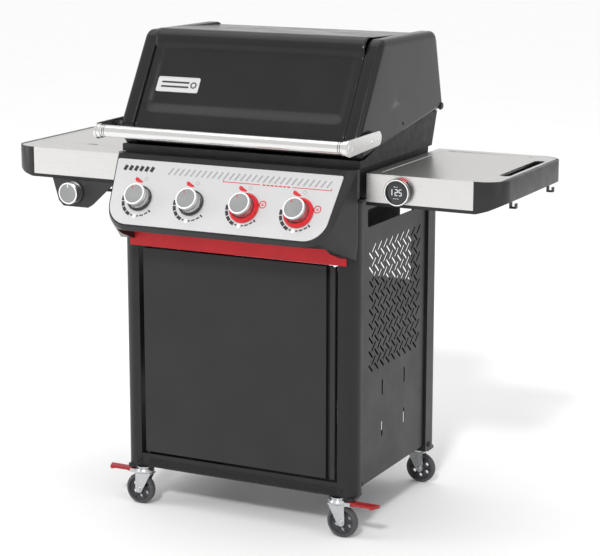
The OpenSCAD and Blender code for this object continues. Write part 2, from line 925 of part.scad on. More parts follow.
module left_table_frame() {
    x0 = table_in_x + table_rail - eps;
    x1 = table_out_x - table_rail + eps;
    color(plastic) placed() on_side(-1) {
        difference() {
            table_frame();
            // room for the cover's rear edge as it swings
            translate([burner_x0 - 1, burner_y1 - 4, table_z - 4]) rotate([0, 90, 0])
                cylinder(h = burner_x1 - burner_x0 + 2, r = 5.6);
        }
        for (y = [burner_y0 - 5, burner_y1 + 2])
            rib_x(y, x0, x1);
        // ledges that carry the burner bowl
        for (y = [[burner_y0 - 2 - eps, burner_y0 + 8], [burner_y1 - 18, burner_y1 + 2 + eps]])
            block([x0, y[0], table_z - 20], [x1, y[1], table_z - 14]);
        // lugs that hold the cover's hinge pins
        difference() {
            for (x = [burner_x0 + 10, burner_x1 - 18])
                block([x, burner_y1 - 8, table_z - 9], [x + 8, burner_y1 + 2 + eps, table_z - plate_t - 0.1]);
            translate([x0, burner_y1 - 4, table_z - 4]) rotate([0, 90, 0])
                cylinder(h = x1 - x0, r = 1.56);
        }
    }
}

// Steel top round the opening of the side burner
module left_table_top() {
    color(steel) placed() on_side(-1)
    translate([0, 0, table_z - plate_t]) linear_extrude(plate_t)
        difference() {
            top_plan();
            rounded_box_2d([burner_x0 - 1.5, burner_y0 - 1.5], [burner_x1 + 1.5, burner_y1 + 1.5], 2);
        }
}

// Side burner: a sheet bowl with the round burner standing on its floor
module side_burner_bowl() {
    z1 = table_z - 14;
    z0 = 846;
    color("#55575a") placed() on_side(-1)
    difference() {
        union() {
            block([390, -96, z0], [630, 176, z1]);
            block([360, burner_y0 - 1, z1], [650, burner_y1 - 11, z1 + 1.5]);
            translate([510, 40, z0 - 14]) cylinder(h = 15, r = 12);
        }
        difference() {
            block([391.5, -94.5, z0 + 1.5], [628.5, 174.5, z1 + 5]);
            translate([510, 40, z0]) cylinder(h = 16, r = 22);
            translate([510, 40, z0 + 15]) cylinder(h = 9, r = 38);
        }
        translate([510, 40, z0 - 20]) cylinder(h = 40, r = 8);
    }
}

// Cast pan support over the side burner
module side_burner_grate() {
    z1 = table_z - 7;
    z0 = 847.5;
    color("#1b1b1c") placed() on_side(-1) {
        difference() {
            block([410, -60, z1 - 8], [610, 140, z1]);
            block([418, -52, z1 - 9], [602, 132, z1 + 1]);
        }
        for (x = [450, 506, 562])
            block([x, -54, z1 - 8], [x + 8, 134, z1]);
        for (y = [-14, 36, 86])
            block([414, y, z1 - 8], [606, y + 8, z1 - 0.5]);
        for (x = [410, 602], y = [-60, 132])
            block([x, y, z0], [x + 8, y + 8, z1 - 4]);
    }
}

// Flush cover over the side burner with a finger notch in its front edge
module side_burner_lid() {
    z0 = table_z - plate_t;
    color(steel) placed() on_side(-1)
    difference() {
        union() {
            translate([0, 0, z0]) linear_extrude(plate_t)
                rounded_box_2d([burner_x0, burner_y0], [burner_x1, burner_y1], 5);
            // hinge barrel along the rear edge
            translate([burner_x0 + 20, burner_y1 - 4, z0 - 2]) rotate([0, 90, 0])
                cylinder(h = burner_x1 - burner_x0 - 40, r = 3);
            translate([burner_x0 + 9, burner_y1 - 4, z0 - 2]) rotate([0, 90, 0])
                cylinder(h = burner_x1 - burner_x0 - 18, r = 1.5);
        }
        translate([496, burner_y0 - 12, z0 - 1]) cylinder(h = 5, r = 22);
        // notches round the hinge lugs
        for (x = [burner_x0 + 9, burner_x1 - 19.5])
            block([x, burner_y1 - 10, z0 - eps], [x + 10.5, burner_y1 + 1, z0 + 5]);
    }
}

// Bracket under the left table with the side burner's valve and gas tube
module side_valve_bracket() {
    y0 = table_front_y - 2;
    z1 = table_bottom_z;
    tube_y = -165;
    tube_r = 4;
    color(plastic) placed() {
        difference() {
            union() {
                along_y(y0, y0 + 2)
                    polygon([[-549, z1], [-532, 772], [-518, 758], [-444, 758], [-430, 766], [-362, z1]]);
                block([-545, y0, z1 - 2], [-366, y0 + 14, z1]);
            }
            translate([side_knob_x, y0 + 10, side_knob_z]) rotate([90, 0, 0]) cylinder(h = 20, r = 7);
        }
        at_knob(5)
            difference() {
                translate([0, 0, -60]) cylinder(h = 58 + eps, r = 13);
                translate([0, 0, -45]) cylinder(h = 60, r = 4.06);
            }
        // tube through the side panel's cut-out to the manifold
        translate([side_knob_x, tube_y, side_knob_z]) rotate([0, 90, 0])
            cylinder(h = branch_x + tube_r - side_knob_x, r = tube_r);
        translate([branch_x, tube_y, side_knob_z]) rotate([90, 0, 0])
            cylinder(h = tube_y - manifold_y - 10, r = tube_r);
        // tube and nozzle to the side burner
        translate([side_knob_x, tube_y, side_knob_z]) rotate([-90, 0, 0])
            cylinder(h = 40 - tube_y, r = tube_r);
        translate([side_knob_x, 40, side_knob_z]) rotate([0, -90, 0]) cylinder(h = 27, r = tube_r);
        translate([side_knob_x - 27, 40, side_knob_z - 4]) cylinder(h = 46, r = 6);
    }
}

// ---------------------------------------------------------------- grease tray

// Open tray that slides out at the back
module grease_tray() {
    x1 = 148;
    y0 = -145;
    y1 = 168;
    z0 = 683.8;
    color("#8f9092") placed() {
        difference() {
            block([-x1, y0, z0], [x1, y1, 710]);
            block([-x1 + 1.5, y0 + 1.5, z0 + 1.5], [x1 - 1.5, y1 - 1.5, 720]);
        }
        block([-45, y1 - eps, 700], [45, y1 + 18, 702]);
        block([-45, y1 + 16, 692], [45, y1 + 18, 702]);
    }
}

// ---------------------------------------------------------------- casters

// Frame of a caster with x pointing away from the middle of the cart
module at_caster(sx, sy) placed() in_quarter(sx, sy) translate([swivel_x, swivel_y, 0]) children();

// Swivel fork with stem, raceway, axle and, on the braked ones, ears for the lever
module caster_fork(sx, sy, braked) {
    plate_in = wheel_w / 2 + 1;
    plate_out = plate_in + 2.5;
    color(zinc) at_caster(sx, sy) {
        translate([0, 0, 90]) cylinder(h = 13.8, r = 5);
        translate([0, 0, 85]) rotate_extrude()
            polygon([[0, 0], [22, 0], [25, 3], [25, 7], [22, 11.4], [0, 11.4]]);
        block([-24, -plate_out, 82], [24, plate_out, 86]);
        for (s = [1, -1])
            in_quarter(1, s) {
                along_y(plate_in, plate_out)
                    belt([[caster_trail, wheel_r, 10], [18, 81.5, 3], [-18, 81.5, 3]]);
                translate([caster_trail, plate_in + 1, wheel_r]) rotate([-90, 0, 0])
                    cylinder(h = 4, r = 6.5);
                if (braked)
                    block([19, plate_in + 0.2, 83], [37, plate_out + 0.2, 93]);
            }
        translate([caster_trail, plate_in + 2, wheel_r]) rotate([90, 0, 0])
            cylinder(h = 2 * plate_in + 4, r = 4);
        if (braked)
            translate([lever_x, plate_out + 1, lever_z]) rotate([90, 0, 0])
                cylinder(h = 2 * plate_out + 2, r = 2.5);
    }
}

module caster_fork_fl() caster_fork(-1, -1, true);
module caster_fork_fr() caster_fork(1, -1, true);
module caster_fork_rl() caster_fork(-1, 1, false);
module caster_fork_rr() caster_fork(1, 1, false);

// Wheel with hub, perforated web and rounded tread
module wheel(sx, sy) {
    w = wheel_w / 2;
    r = wheel_r;
    hub = w + 0.5;
    color("#303134") at_caster(sx, sy)
    translate([caster_trail, 0, r]) rotate([90, 0, 0])
    difference() {
        rotate_extrude()
            polygon([[4.06, -hub], [11, -hub], [12, -3], [29, -3], [30, -w + 1], [33, -w], [37, -w + 1],
                     [r - 0.8, -w + 4], [r, -w + 7], [r, w - 7], [r - 0.8, w - 4], [37, w - 1],
                     [33, w], [30, w - 1], [29, 3], [12, 3], [11, hub], [4.06, hub]]);
        for (a = [30:60:330])
            rotate(a) translate([20.5, 0, -10]) cylinder(h = 20, r = 5);
    }
}

module wheel_fl() wheel(-1, -1);
module wheel_fr() wheel(1, -1);
module wheel_rl() wheel(-1, 1);
module wheel_rr() wheel(1, 1);

// Toe lever of a braked caster
module brake_lever(side) {
    color(red) at_caster(side, -1)
    difference() {
        union() {
            along_y(-10.3, 10.3)
                polygon([[27.5, 84.5], [27.5, 93], [34, 94.5], [46, 93], [46, 84.5]]);
            translate([0, 0, 86]) linear_extrude(6)
                polygon([[40, -10.3], [58, -11], [106, -12], [97, 12], [58, 11], [40, 10.3]]);
            translate([0, 0, 84]) linear_extrude(2 + eps)
                polygon([[88, -11.6], [105.5, -12], [96.5, 12], [88, 11.8]]);
        }
        translate([lever_x, 20, lever_z]) rotate([90, 0, 0]) cylinder(h = 40, r = 2.56);
    }
}

module brake_lever_left() brake_lever(-1);
module brake_lever_right() brake_lever(1);

// ---------------------------------------------------------------- parts

leg_front_left();
leg_front_right();
leg_rear_left();
leg_rear_right();
side_panels();
back_panel();
bottom_shelf();
lower_front_rail();
rear_top_beam();
front_beam();
caster_plates();
cookbox();
hinge_pins();
burner_tubes();
heat_deflectors();
cooking_grates();
warming_rack();
control_housing();
control_panel();
knob_bezels();
gas_manifold();
right_table_top();
right_table_frame();
table_fascias();
thermometer_pod();
left_table_top();
left_table_frame();
side_burner_bowl();
side_burner_grate();
side_valve_bracket();
tool_hooks();
cart_screws();
lid_sheet();
lid_end_left();
lid_end_right();
handle_tube();
handle_brackets();
door_panel();
side_burner_lid();
grease_tray();
stem_1();
stem_2();
stem_3();
stem_4();
stem_5();
knob_1();
knob_2();
knob_3();
knob_4();
knob_5();
caster_fork_fl();
caster_fork_fr();
caster_fork_rl();
caster_fork_rr();
wheel_fl();
wheel_fr();
wheel_rl();
wheel_rr();
brake_lever_left();
brake_lever_right();
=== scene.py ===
"""Looks of the gas barbecue grill: materials, formed skins, graphics, fittings, light and camera."""

import json
import math

import bmesh
import bpy
from mathutils import Matrix, Vector

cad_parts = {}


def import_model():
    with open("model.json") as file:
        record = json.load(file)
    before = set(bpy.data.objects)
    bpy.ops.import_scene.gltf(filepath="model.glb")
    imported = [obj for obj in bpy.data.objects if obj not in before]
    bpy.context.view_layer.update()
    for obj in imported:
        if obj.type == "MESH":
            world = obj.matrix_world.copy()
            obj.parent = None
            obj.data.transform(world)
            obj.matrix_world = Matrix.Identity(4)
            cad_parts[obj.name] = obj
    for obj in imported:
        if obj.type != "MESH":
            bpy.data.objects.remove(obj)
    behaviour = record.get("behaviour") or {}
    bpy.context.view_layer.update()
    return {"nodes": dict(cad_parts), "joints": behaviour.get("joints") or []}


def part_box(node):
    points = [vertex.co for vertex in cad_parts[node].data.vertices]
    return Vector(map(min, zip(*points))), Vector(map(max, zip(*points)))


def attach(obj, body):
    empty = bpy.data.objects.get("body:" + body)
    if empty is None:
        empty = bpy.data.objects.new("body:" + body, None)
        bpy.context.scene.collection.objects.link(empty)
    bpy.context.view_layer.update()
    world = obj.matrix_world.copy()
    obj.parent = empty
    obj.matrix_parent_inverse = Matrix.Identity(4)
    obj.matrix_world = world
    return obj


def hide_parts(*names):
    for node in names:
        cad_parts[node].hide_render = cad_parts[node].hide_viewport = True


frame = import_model()
nodes = frame["nodes"]
joints = {joint["name"]: joint for joint in frame["joints"]}

X = Vector((1, 0, 0))
Y = Vector((0, 1, 0))
Z = Vector((0, 0, 1))
MM = 0.001
SIDES = ((1, "right"), (-1, "left"))
CORNERS = ("fl", "fr", "rl", "rr")
SMOOTHING = math.radians(38)


# ---------------------------------------------------------------- materials

class Shader:
    """A node material built up in steps: surface colour, grain, roughness, bump."""

    def __init__(self, name, colour, roughness, metallic=0.0, specular=0.5):
        self.material = bpy.data.materials.new(name)
        self.material.use_nodes = True
        self.tree = self.material.node_tree
        self.bsdf = self.tree.nodes["Principled BSDF"]
        self.bsdf.inputs["Base Color"].default_value = (*colour, 1)
        self.bsdf.inputs["Roughness"].default_value = roughness
        self.bsdf.inputs["Metallic"].default_value = metallic
        self.bsdf.inputs["Specular IOR Level"].default_value = specular
        self.colour = colour
        self.roughness = roughness
        self.place = self.node("ShaderNodeTexCoord").outputs["Object"]
        self.height = None

    def node(self, kind, **values):
        made = self.tree.nodes.new(kind)
        for key, value in values.items():
            setattr(made, key, value)
        return made

    def link(self, start, end):
        self.tree.links.new(start, end)

    def stretched(self, scale):
        """Object coordinates multiplied by a scale along each axis."""
        mapping = self.node("ShaderNodeMapping")
        mapping.inputs["Scale"].default_value = scale
        self.link(self.place, mapping.inputs["Vector"])
        return mapping.outputs["Vector"]

    def noise(self, scale, detail=4.0, stretch=(1, 1, 1)):
        noise = self.node("ShaderNodeTexNoise")
        noise.inputs["Scale"].default_value = scale
        noise.inputs["Detail"].default_value = detail
        self.link(self.stretched(stretch), noise.inputs["Vector"])
        return noise.outputs["Fac"]

    def ranged(self, value, low, high, start=0.3, end=0.7):
        spread = self.node("ShaderNodeMapRange")
        spread.inputs["From Min"].default_value = start
        spread.inputs["From Max"].default_value = end
        spread.inputs["To Min"].default_value = low
        spread.inputs["To Max"].default_value = high
        self.link(value, spread.inputs["Value"])
        return spread.outputs["Result"]

    def vary_colour(self, value, amount, start=0.3, end=0.7):
        """Colour that swings by amount round its base with the value."""
        ramp = self.node("ShaderNodeValToRGB")
        self.link(value, ramp.inputs["Fac"])
        for stop, place, factor in zip(ramp.color_ramp.elements, (start, end), (1 - amount, 1 + amount)):
            stop.position = place
            stop.color = (*[min(1, c * factor) for c in self.colour], 1)
        self.link(ramp.outputs["Color"], self.bsdf.inputs["Base Color"])
        return self

    def vary_roughness(self, value, amount):
        low = max(0.02, self.roughness - amount)
        self.link(self.ranged(value, low, self.roughness + amount), self.bsdf.inputs["Roughness"])
        return self

    def bump(self, value, distance, strength=1.0):
        """Fine relief, laid over the eased edges where there are any."""
        bump = self.node("ShaderNodeBump")
        bump.inputs["Distance"].default_value = distance
        bump.inputs["Strength"].default_value = strength
        self.link(value, bump.inputs["Height"])
        if self.height:
            self.link(self.height, bump.inputs["Normal"])
        self.height = bump.outputs["Normal"]
        self.link(self.height, self.bsdf.inputs["Normal"])
        return self

    def eased(self, radius):
        """Edges look rounded with this radius."""
        bevel = self.node("ShaderNodeBevel", samples=4)
        bevel.inputs["Radius"].default_value = radius
        self.height = bevel.outputs["Normal"]
        self.link(self.height, self.bsdf.inputs["Normal"])
        return self


def satin_paint(name, colour, roughness=0.38, peel=0.00006, radius=0.0015):
    """Powder coat: slight orange peel and clouded gloss."""
    shader = Shader(name, colour, roughness, specular=0.3).eased(radius)
    shader.vary_colour(shader.noise(9, 5), 0.10)
    shader.vary_roughness(shader.noise(14, 6), 0.05)
    return shader.bump(shader.noise(900, 2), peel, 0.5).material


def cast_metal(name, colour, roughness=0.55, grain=0.00025, radius=0.002):
    """Coated casting with a pebbled skin."""
    shader = Shader(name, colour, roughness, specular=0.3).eased(radius)
    shader.vary_colour(shader.noise(30, 6), 0.18)
    shader.vary_roughness(shader.noise(60, 6), 0.08)
    return shader.bump(shader.noise(650, 4), grain, 0.6).material


def brushed(name, colour, direction, roughness=0.3, radius=0.0006):
    """Brushed sheet: hair lines along the direction axis."""
    stretch = tuple(1 if axis == direction else 90 for axis in "xyz")
    shader = Shader(name, colour, roughness, metallic=1.0).eased(radius)
    lines = shader.noise(34, 6, stretch)
    shader.vary_colour(lines, 0.035, 0.25, 0.75)
    shader.vary_roughness(lines, 0.05)
    return shader.bump(lines, 0.00002, 0.35).material


def moulded(name, colour, roughness=0.5, grain=0.00012, radius=0.0012):
    """Moulded plastic with a fine spark-eroded grain."""
    shader = Shader(name, colour, roughness, specular=0.4).eased(radius)
    shader.vary_colour(shader.noise(20, 4), 0.08)
    shader.vary_roughness(shader.noise(35, 5), 0.05)
    return shader.bump(shader.noise(1100, 3), grain, 0.5).material


def plated(name, colour, roughness=0.28, radius=0.0005):
    """Zinc or chrome plate with faint mottling."""
    shader = Shader(name, colour, roughness, metallic=1.0).eased(radius)
    shader.vary_colour(shader.noise(45, 6), 0.10)
    shader.vary_roughness(shader.noise(80, 6), 0.09)
    return shader.bump(shader.noise(400, 4), 0.00004, 0.4).material


def printed(name, colour, roughness=0.45):
    """Screen-printed ink with a slightly uneven film."""
    shader = Shader(name, colour, roughness, specular=0.4)
    shader.vary_colour(shader.noise(300, 3), 0.05)
    return shader.bump(shader.noise(1500, 2), 0.00001, 0.3).material


def rubbery(name, colour, roughness=0.65):
    """Tyre rubber, dull and slightly dusty."""
    shader = Shader(name, colour, roughness, specular=0.35).eased(0.0008)
    shader.vary_colour(shader.noise(70, 5), 0.15)
    shader.vary_roughness(shader.noise(90, 5), 0.08)
    return shader.bump(shader.noise(900, 4), 0.0001, 0.5).material


def used_iron(name, colour):
    """Enamelled iron with a dull, slightly seasoned surface."""
    shader = Shader(name, colour, 0.5, metallic=0.2, specular=0.45).eased(0.0015)
    shader.vary_colour(shader.noise(24, 8), 0.35)
    shader.vary_roughness(shader.noise(50, 8), 0.15)
    return shader.bump(shader.noise(420, 6), 0.0003, 0.5).material


def galvanised(name, colour):
    """Zinc-coated sheet with spangle."""
    shader = Shader(name, colour, 0.42, metallic=0.9).eased(0.0006)
    cells = shader.node("ShaderNodeTexVoronoi")
    cells.inputs["Scale"].default_value = 120
    shader.link(shader.place, cells.inputs["Vector"])
    shader.vary_colour(cells.outputs["Distance"], 0.12, 0.1, 0.8)
    shader.vary_roughness(shader.noise(90, 6), 0.08)
    return shader.bump(shader.noise(500, 4), 0.00004, 0.4).material


def clear_glass(name):
    """Dark lens over the display."""
    shader = Shader(name, (0.02, 0.021, 0.024), 0.08, specular=0.6)
    shader.vary_roughness(shader.noise(40, 4), 0.03)
    return shader.material


def flake_panel(name, colour):
    """Silver lacquer with metallic flake."""
    shader = Shader(name, colour, 0.34, metallic=0.35, specular=0.5).eased(0.0008)
    shader.vary_colour(shader.noise(2400, 2), 0.05)
    shader.vary_roughness(shader.noise(600, 4), 0.04)
    return shader.bump(shader.noise(1600, 2), 0.00001, 0.3).material


BLACK = satin_paint("black_paint", (0.0115, 0.0117, 0.0125))
DOOR = satin_paint("door_paint", (0.019, 0.0192, 0.020), roughness=0.48)
ENAMEL = satin_paint("lid_enamel", (0.0115, 0.0116, 0.0121), roughness=0.2, peel=0.00003, radius=0.002)
CAST = cast_metal("cast_dark", (0.018, 0.0185, 0.0195))
IRON = used_iron("grate_iron", (0.02, 0.02, 0.021))
STEEL_X = brushed("steel_brushed_x", (0.74, 0.73, 0.715), "x")
STEEL_Y = brushed("steel_brushed_y", (0.74, 0.73, 0.715), "y")
TUBE = brushed("steel_tube", (0.78, 0.775, 0.765), "x", roughness=0.22)
SILVER = flake_panel("silver_panel", (0.6, 0.6, 0.605))
RED = satin_paint("red_paint", (0.56, 0.014, 0.021), roughness=0.36)
LEVER_RED = moulded("lever_red", (0.32, 0.012, 0.016), roughness=0.42)
ZINC = plated("zinc", (0.56, 0.57, 0.58))
CHROME = plated("chrome", (0.82, 0.82, 0.83), roughness=0.14)
PLASTIC = moulded("black_plastic", (0.013, 0.0133, 0.014), roughness=0.34)
# dark plastic; also painted shade in the handle grooves and round the left knobs
DARK_PLASTIC_AND_SHADE = moulded("dark_plastic_and_painted_shade", (0.026, 0.0265, 0.028), roughness=0.5)
TREAD = rubbery("caster_tread", (0.06, 0.061, 0.065))
HUB = moulded("caster_hub", (0.035, 0.0355, 0.038), roughness=0.35)
BRASS = plated("dull_brass", (0.42, 0.33, 0.16), roughness=0.4)
GALVANISED = galvanised("galvanised", (0.5, 0.5, 0.505))
KNOB_GREY = moulded("knob_grey", (0.25, 0.253, 0.255), roughness=0.5, grain=0.0003)
KNOB_SILVER = plated("knob_silver", (0.6, 0.6, 0.605), roughness=0.33)
WHITE = printed("white_ring", (0.82, 0.82, 0.82), roughness=0.25)
# black ink for print; also painted shade in the burner port holes
INK_BLACK_AND_HOLE_SHADE = printed("ink_black_and_hole_shade", (0.025, 0.025, 0.027))
INK_GREY = printed("ink_grey", (0.33, 0.33, 0.335))
INK_RED = printed("ink_red", (0.55, 0.025, 0.035))
LENS = clear_glass("display_lens")
LIT = printed("display_digits", (0.85, 0.87, 0.9))

NODE_MATERIALS = {
    BLACK: ["leg_front_left", "leg_front_right", "leg_rear_left", "leg_rear_right", "side_panels",
            "back_panel", "bottom_shelf", "lower_front_rail", "rear_top_beam", "caster_plates",
            "cart_screws", "hinge_pins"],
    DOOR: ["door_panel"],
    CAST: ["cookbox"],
    IRON: ["cooking_grates", "side_burner_grate"],
    STEEL_X: ["table_fascias", "burner_tubes", "heat_deflectors", "warming_rack"],
    STEEL_Y: ["right_table_top", "left_table_top", "side_burner_lid"],
    TUBE: ["handle_tube", "handle_brackets"],
    SILVER: ["control_panel"],
    RED: ["front_beam"],
    LEVER_RED: ["brake_lever_left", "brake_lever_right"],
    ZINC: [f"stem_{i}" for i in range(1, 6)]
          + [f"caster_fork_{corner}" for corner in CORNERS],
    PLASTIC: ["control_housing", "right_table_frame", "left_table_frame", "thermometer_pod"],
    DARK_PLASTIC_AND_SHADE: ["tool_hooks", "side_valve_bracket"],
    BRASS: ["gas_manifold"],
    GALVANISED: ["side_burner_bowl", "grease_tray"],
    TREAD: [f"wheel_{corner}" for corner in CORNERS],
    INK_BLACK_AND_HOLE_SHADE: ["knob_bezels"],
}
for material, names in NODE_MATERIALS.items():
    for name in names:
        slots = nodes[name].data.materials
        slots.clear()
        slots.append(material)


# ---------------------------------------------------------------- mesh helpers

def piece(name, body, verts, faces, material, slot, smooth=True, matrix=None):
    """A mesh object that rides on a body."""
    mesh = bpy.data.meshes.new(name)
    mesh.from_pydata([Vector(v) for v in verts], [], faces)
    if matrix:
        mesh.transform(matrix)
    mesh.materials.append(material)
    cleaned = bmesh.new()
    cleaned.from_mesh(mesh)
    bmesh.ops.remove_doubles(cleaned, verts=cleaned.verts, dist=1e-6)
    bmesh.ops.recalc_face_normals(cleaned, faces=cleaned.faces)
    cleaned.to_mesh(mesh)
    cleaned.free()
    for polygon in mesh.polygons:
        polygon.use_smooth = smooth
    made = bpy.data.objects.new(name, mesh)
    bpy.context.scene.collection.objects.link(made)
    if smooth:
        mesh.set_sharp_from_angle(angle=SMOOTHING)
    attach(made, body)
    return made


def bands(ring_numbers, count):
    """Quads that join each ring of count vertices to the next one in the list."""
    faces = []
    for first, second in zip(ring_numbers, ring_numbers[1:]):
        for i in range(count):
            j = (i + 1) % count
            faces.append((first * count + i, first * count + j, second * count + j, second * count + i))
    return faces


def frame_at(origin, x_axis, z_axis):
    """Matrix whose x and z axes point along the given directions."""
    z = z_axis.normalized()
    x = (x_axis - x_axis.dot(z) * z).normalized()
    y = z.cross(x)
    matrix = Matrix((x, y, z)).transposed().to_4x4()
    matrix.translation = origin
    return matrix


def lathe_mesh(profile, segments=48):
    """Vertices and faces of a profile of (radius, height) turned round Z."""
    verts = []
    for radius, height in profile:
        for i in range(segments):
            angle = 2 * math.pi * i / segments
            verts.append((radius * math.cos(angle), radius * math.sin(angle), height))
    return verts, bands(range(len(profile)), segments)


def joined(parts):
    """One mesh from several (verts, faces, matrix) parts."""
    verts = []
    faces = []
    for part_verts, part_faces, matrix in parts:
        start = len(verts)
        verts += [matrix @ Vector(v) for v in part_verts]
        faces += [tuple(start + i for i in face) for face in part_faces]
    return verts, faces


def prism(outline, low, high):
    """Vertices and faces of a flat outline extruded along Z."""
    count = len(outline)
    verts = [(x, y, low) for x, y in outline] + [(x, y, high) for x, y in outline]
    faces = [tuple(range(count))[::-1], tuple(range(count, 2 * count))]
    for i in range(count):
        j = (i + 1) % count
        faces.append((i, j, count + j, count + i))
    return verts, faces


def cushioned(outline_at, steps):
    """A closed slab from outlines at several (inset, height) steps, capped at both ends."""
    verts = []
    for inset, height in steps:
        verts += [(x, y, height) for x, y in outline_at(inset)]
    count = len(outline_at(0))
    faces = bands(range(len(steps)), count)
    faces.append(tuple(range(count))[::-1])
    faces.append(tuple(range((len(steps) - 1) * count, len(steps) * count)))
    return verts, faces


def rounded_rectangle(width, height, radius, steps=6):
    """Outline centred on the origin, anticlockwise."""
    points = []
    corners = ((1, 1, 0), (-1, 1, 90), (-1, -1, 180), (1, -1, 270))
    for sx, sy, start in corners:
        for k in range(steps + 1):
            angle = math.radians(start + 90 * k / steps)
            points.append((sx * (width / 2 - radius) + radius * math.cos(angle),
                           sy * (height / 2 - radius) + radius * math.sin(angle)))
    return points


def arc_band(inner, outer, start, end, steps=12):
    """Outline of a ring sector, angles in degrees."""
    angles = [math.radians(start + (end - start) * k / steps) for k in range(steps + 1)]
    points = [(outer * math.cos(a), outer * math.sin(a)) for a in angles]
    return points + [(inner * math.cos(a), inner * math.sin(a)) for a in reversed(angles)]


def screw(drive=0.35):
    """Pan head screw of unit radius with a hexagon socket, standing on z = 0."""
    segments = 24
    rim, floor_level = 0.68, 0.3
    verts, faces = lathe_mesh([(0.98, 0), (1, 0.12), (0.92, 0.42), (0.7, 0.62), (0.48, rim)], segments)
    last_ring = len(verts) - segments
    hexagon = [(drive * math.cos(math.radians(60 * k)), drive * math.sin(math.radians(60 * k)))
               for k in range(6)]
    start = len(verts)
    verts += [(x, y, rim) for x, y in hexagon] + [(x, y, floor_level) for x, y in hexagon]
    for k in range(segments):
        a = last_ring + k
        b = last_ring + (k + 1) % segments
        h0 = start + (k // 4)
        h1 = start + ((k + 1) // 4) % 6
        faces.append((a, b, h1) if h0 == h1 else (a, b, h1, h0))
    for k in range(6):
        j = (k + 1) % 6
        faces.append((start + k, start + j, start + 6 + j, start + 6 + k))
    faces.append(tuple(start + 6 + k for k in range(6)))
    return verts, faces


def screws(name, body, places, direction, radius, material=ZINC, slot="zinc"):
    """A set of screw heads at several places, all facing the same way."""
    verts, faces = screw()
    side = X if abs(direction.x) < 0.9 else Y
    parts = [(verts, faces, frame_at(Vector(p), side, direction) @ Matrix.Scale(radius, 4)) for p in places]
    return piece(name, body, *joined(parts), material, slot)


def softened(name, body, width, segments=3):
    """The node's own shape with its sharp edges rounded, in place of the node."""
    source = nodes[name].data
    shape = bmesh.new()
    shape.from_mesh(source)
    bmesh.ops.remove_doubles(shape, verts=shape.verts, dist=2e-6)
    bmesh.ops.dissolve_limit(shape, angle_limit=math.radians(0.5), verts=shape.verts, edges=shape.edges)
    sharp = [edge for edge in shape.edges
             if len(edge.link_faces) == 2 and edge.calc_face_angle(0) > math.radians(35)]
    bmesh.ops.bevel(shape, geom=sharp, offset=width, segments=segments, profile=0.5, affect="EDGES",
                    clamp_overlap=True)
    mesh = bpy.data.meshes.new(f"{name}_eased")
    shape.to_mesh(mesh)
    shape.free()
    mesh.materials.append(source.materials[0])
    for polygon in mesh.polygons:
        polygon.use_smooth = True
    mesh.set_sharp_from_angle(angle=SMOOTHING)
    made = bpy.data.objects.new(f"{name}_eased", mesh)
    bpy.context.scene.collection.objects.link(made)
    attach(made, body)
    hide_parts(name)


# ---------------------------------------------------------------- lid

LID_LOW, LID_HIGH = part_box("lid_sheet")
CAP_LOW, CAP_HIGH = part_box("lid_end_right")
LID_PIVOT = Vector(joints["lid_hinge"]["pos_m"])


def belt_outline(circles, step=math.radians(6)):
    """Outline round circles (y, z, radius), anticlockwise, arcs split into steps."""
    def tangent(p, q):
        across = math.hypot(q[0] - p[0], q[1] - p[1])
        return math.atan2(q[1] - p[1], q[0] - p[0]) - math.acos((p[2] - q[2]) / across)

    angles = [tangent(circles[i], circles[(i + 1) % len(circles)]) for i in range(len(circles))]
    points = []
    for i, (y, z, radius) in enumerate(circles):
        turn = (angles[i] - angles[i - 1]) % (2 * math.pi)
        count = max(2, math.ceil(turn / step))
        for k in range(count + 1):
            angle = angles[i - 1] + turn * k / count
            points.append((y + radius * math.cos(angle), z + radius * math.sin(angle)))
    return points


def lid_circles(inset):
    """The lid's side outline as circles, in metres, worked out from the cap's box."""
    front, back = CAP_LOW.y, CAP_HIGH.y
    top = CAP_HIGH.z
    circles = [(front + 0.024, top - 0.262, 0.012), (back - 0.014, top - 0.192, 0.014),
               (back - 0.074, top - 0.035, 0.032), (front + 0.152, top - 0.035, 0.035),
               (front + 0.012, top - 0.221, 0.012)]
    return [(y, z, max(0.001, r - inset)) for y, z, r in circles]


def clipped_below(points):
    """The outline with everything under the parting line pulled up on to it."""
    front, top = CAP_LOW.y, CAP_HIGH.z
    line = [(front - 0.1, top - 0.276), (front + 0.034, top - 0.273), (front + 0.244, top - 0.215),
            (front + 0.278, top - 0.206), (CAP_HIGH.y + 0.1, top - 0.206)]
    lifted = []
    for y, z in points:
        for (y0, z0), (y1, z1) in zip(line, line[1:]):
            if y0 <= y <= y1:
                z = max(z, z0 + (z1 - z0) * (y - y0) / (y1 - y0))
        lifted.append((y, z))
    return lifted


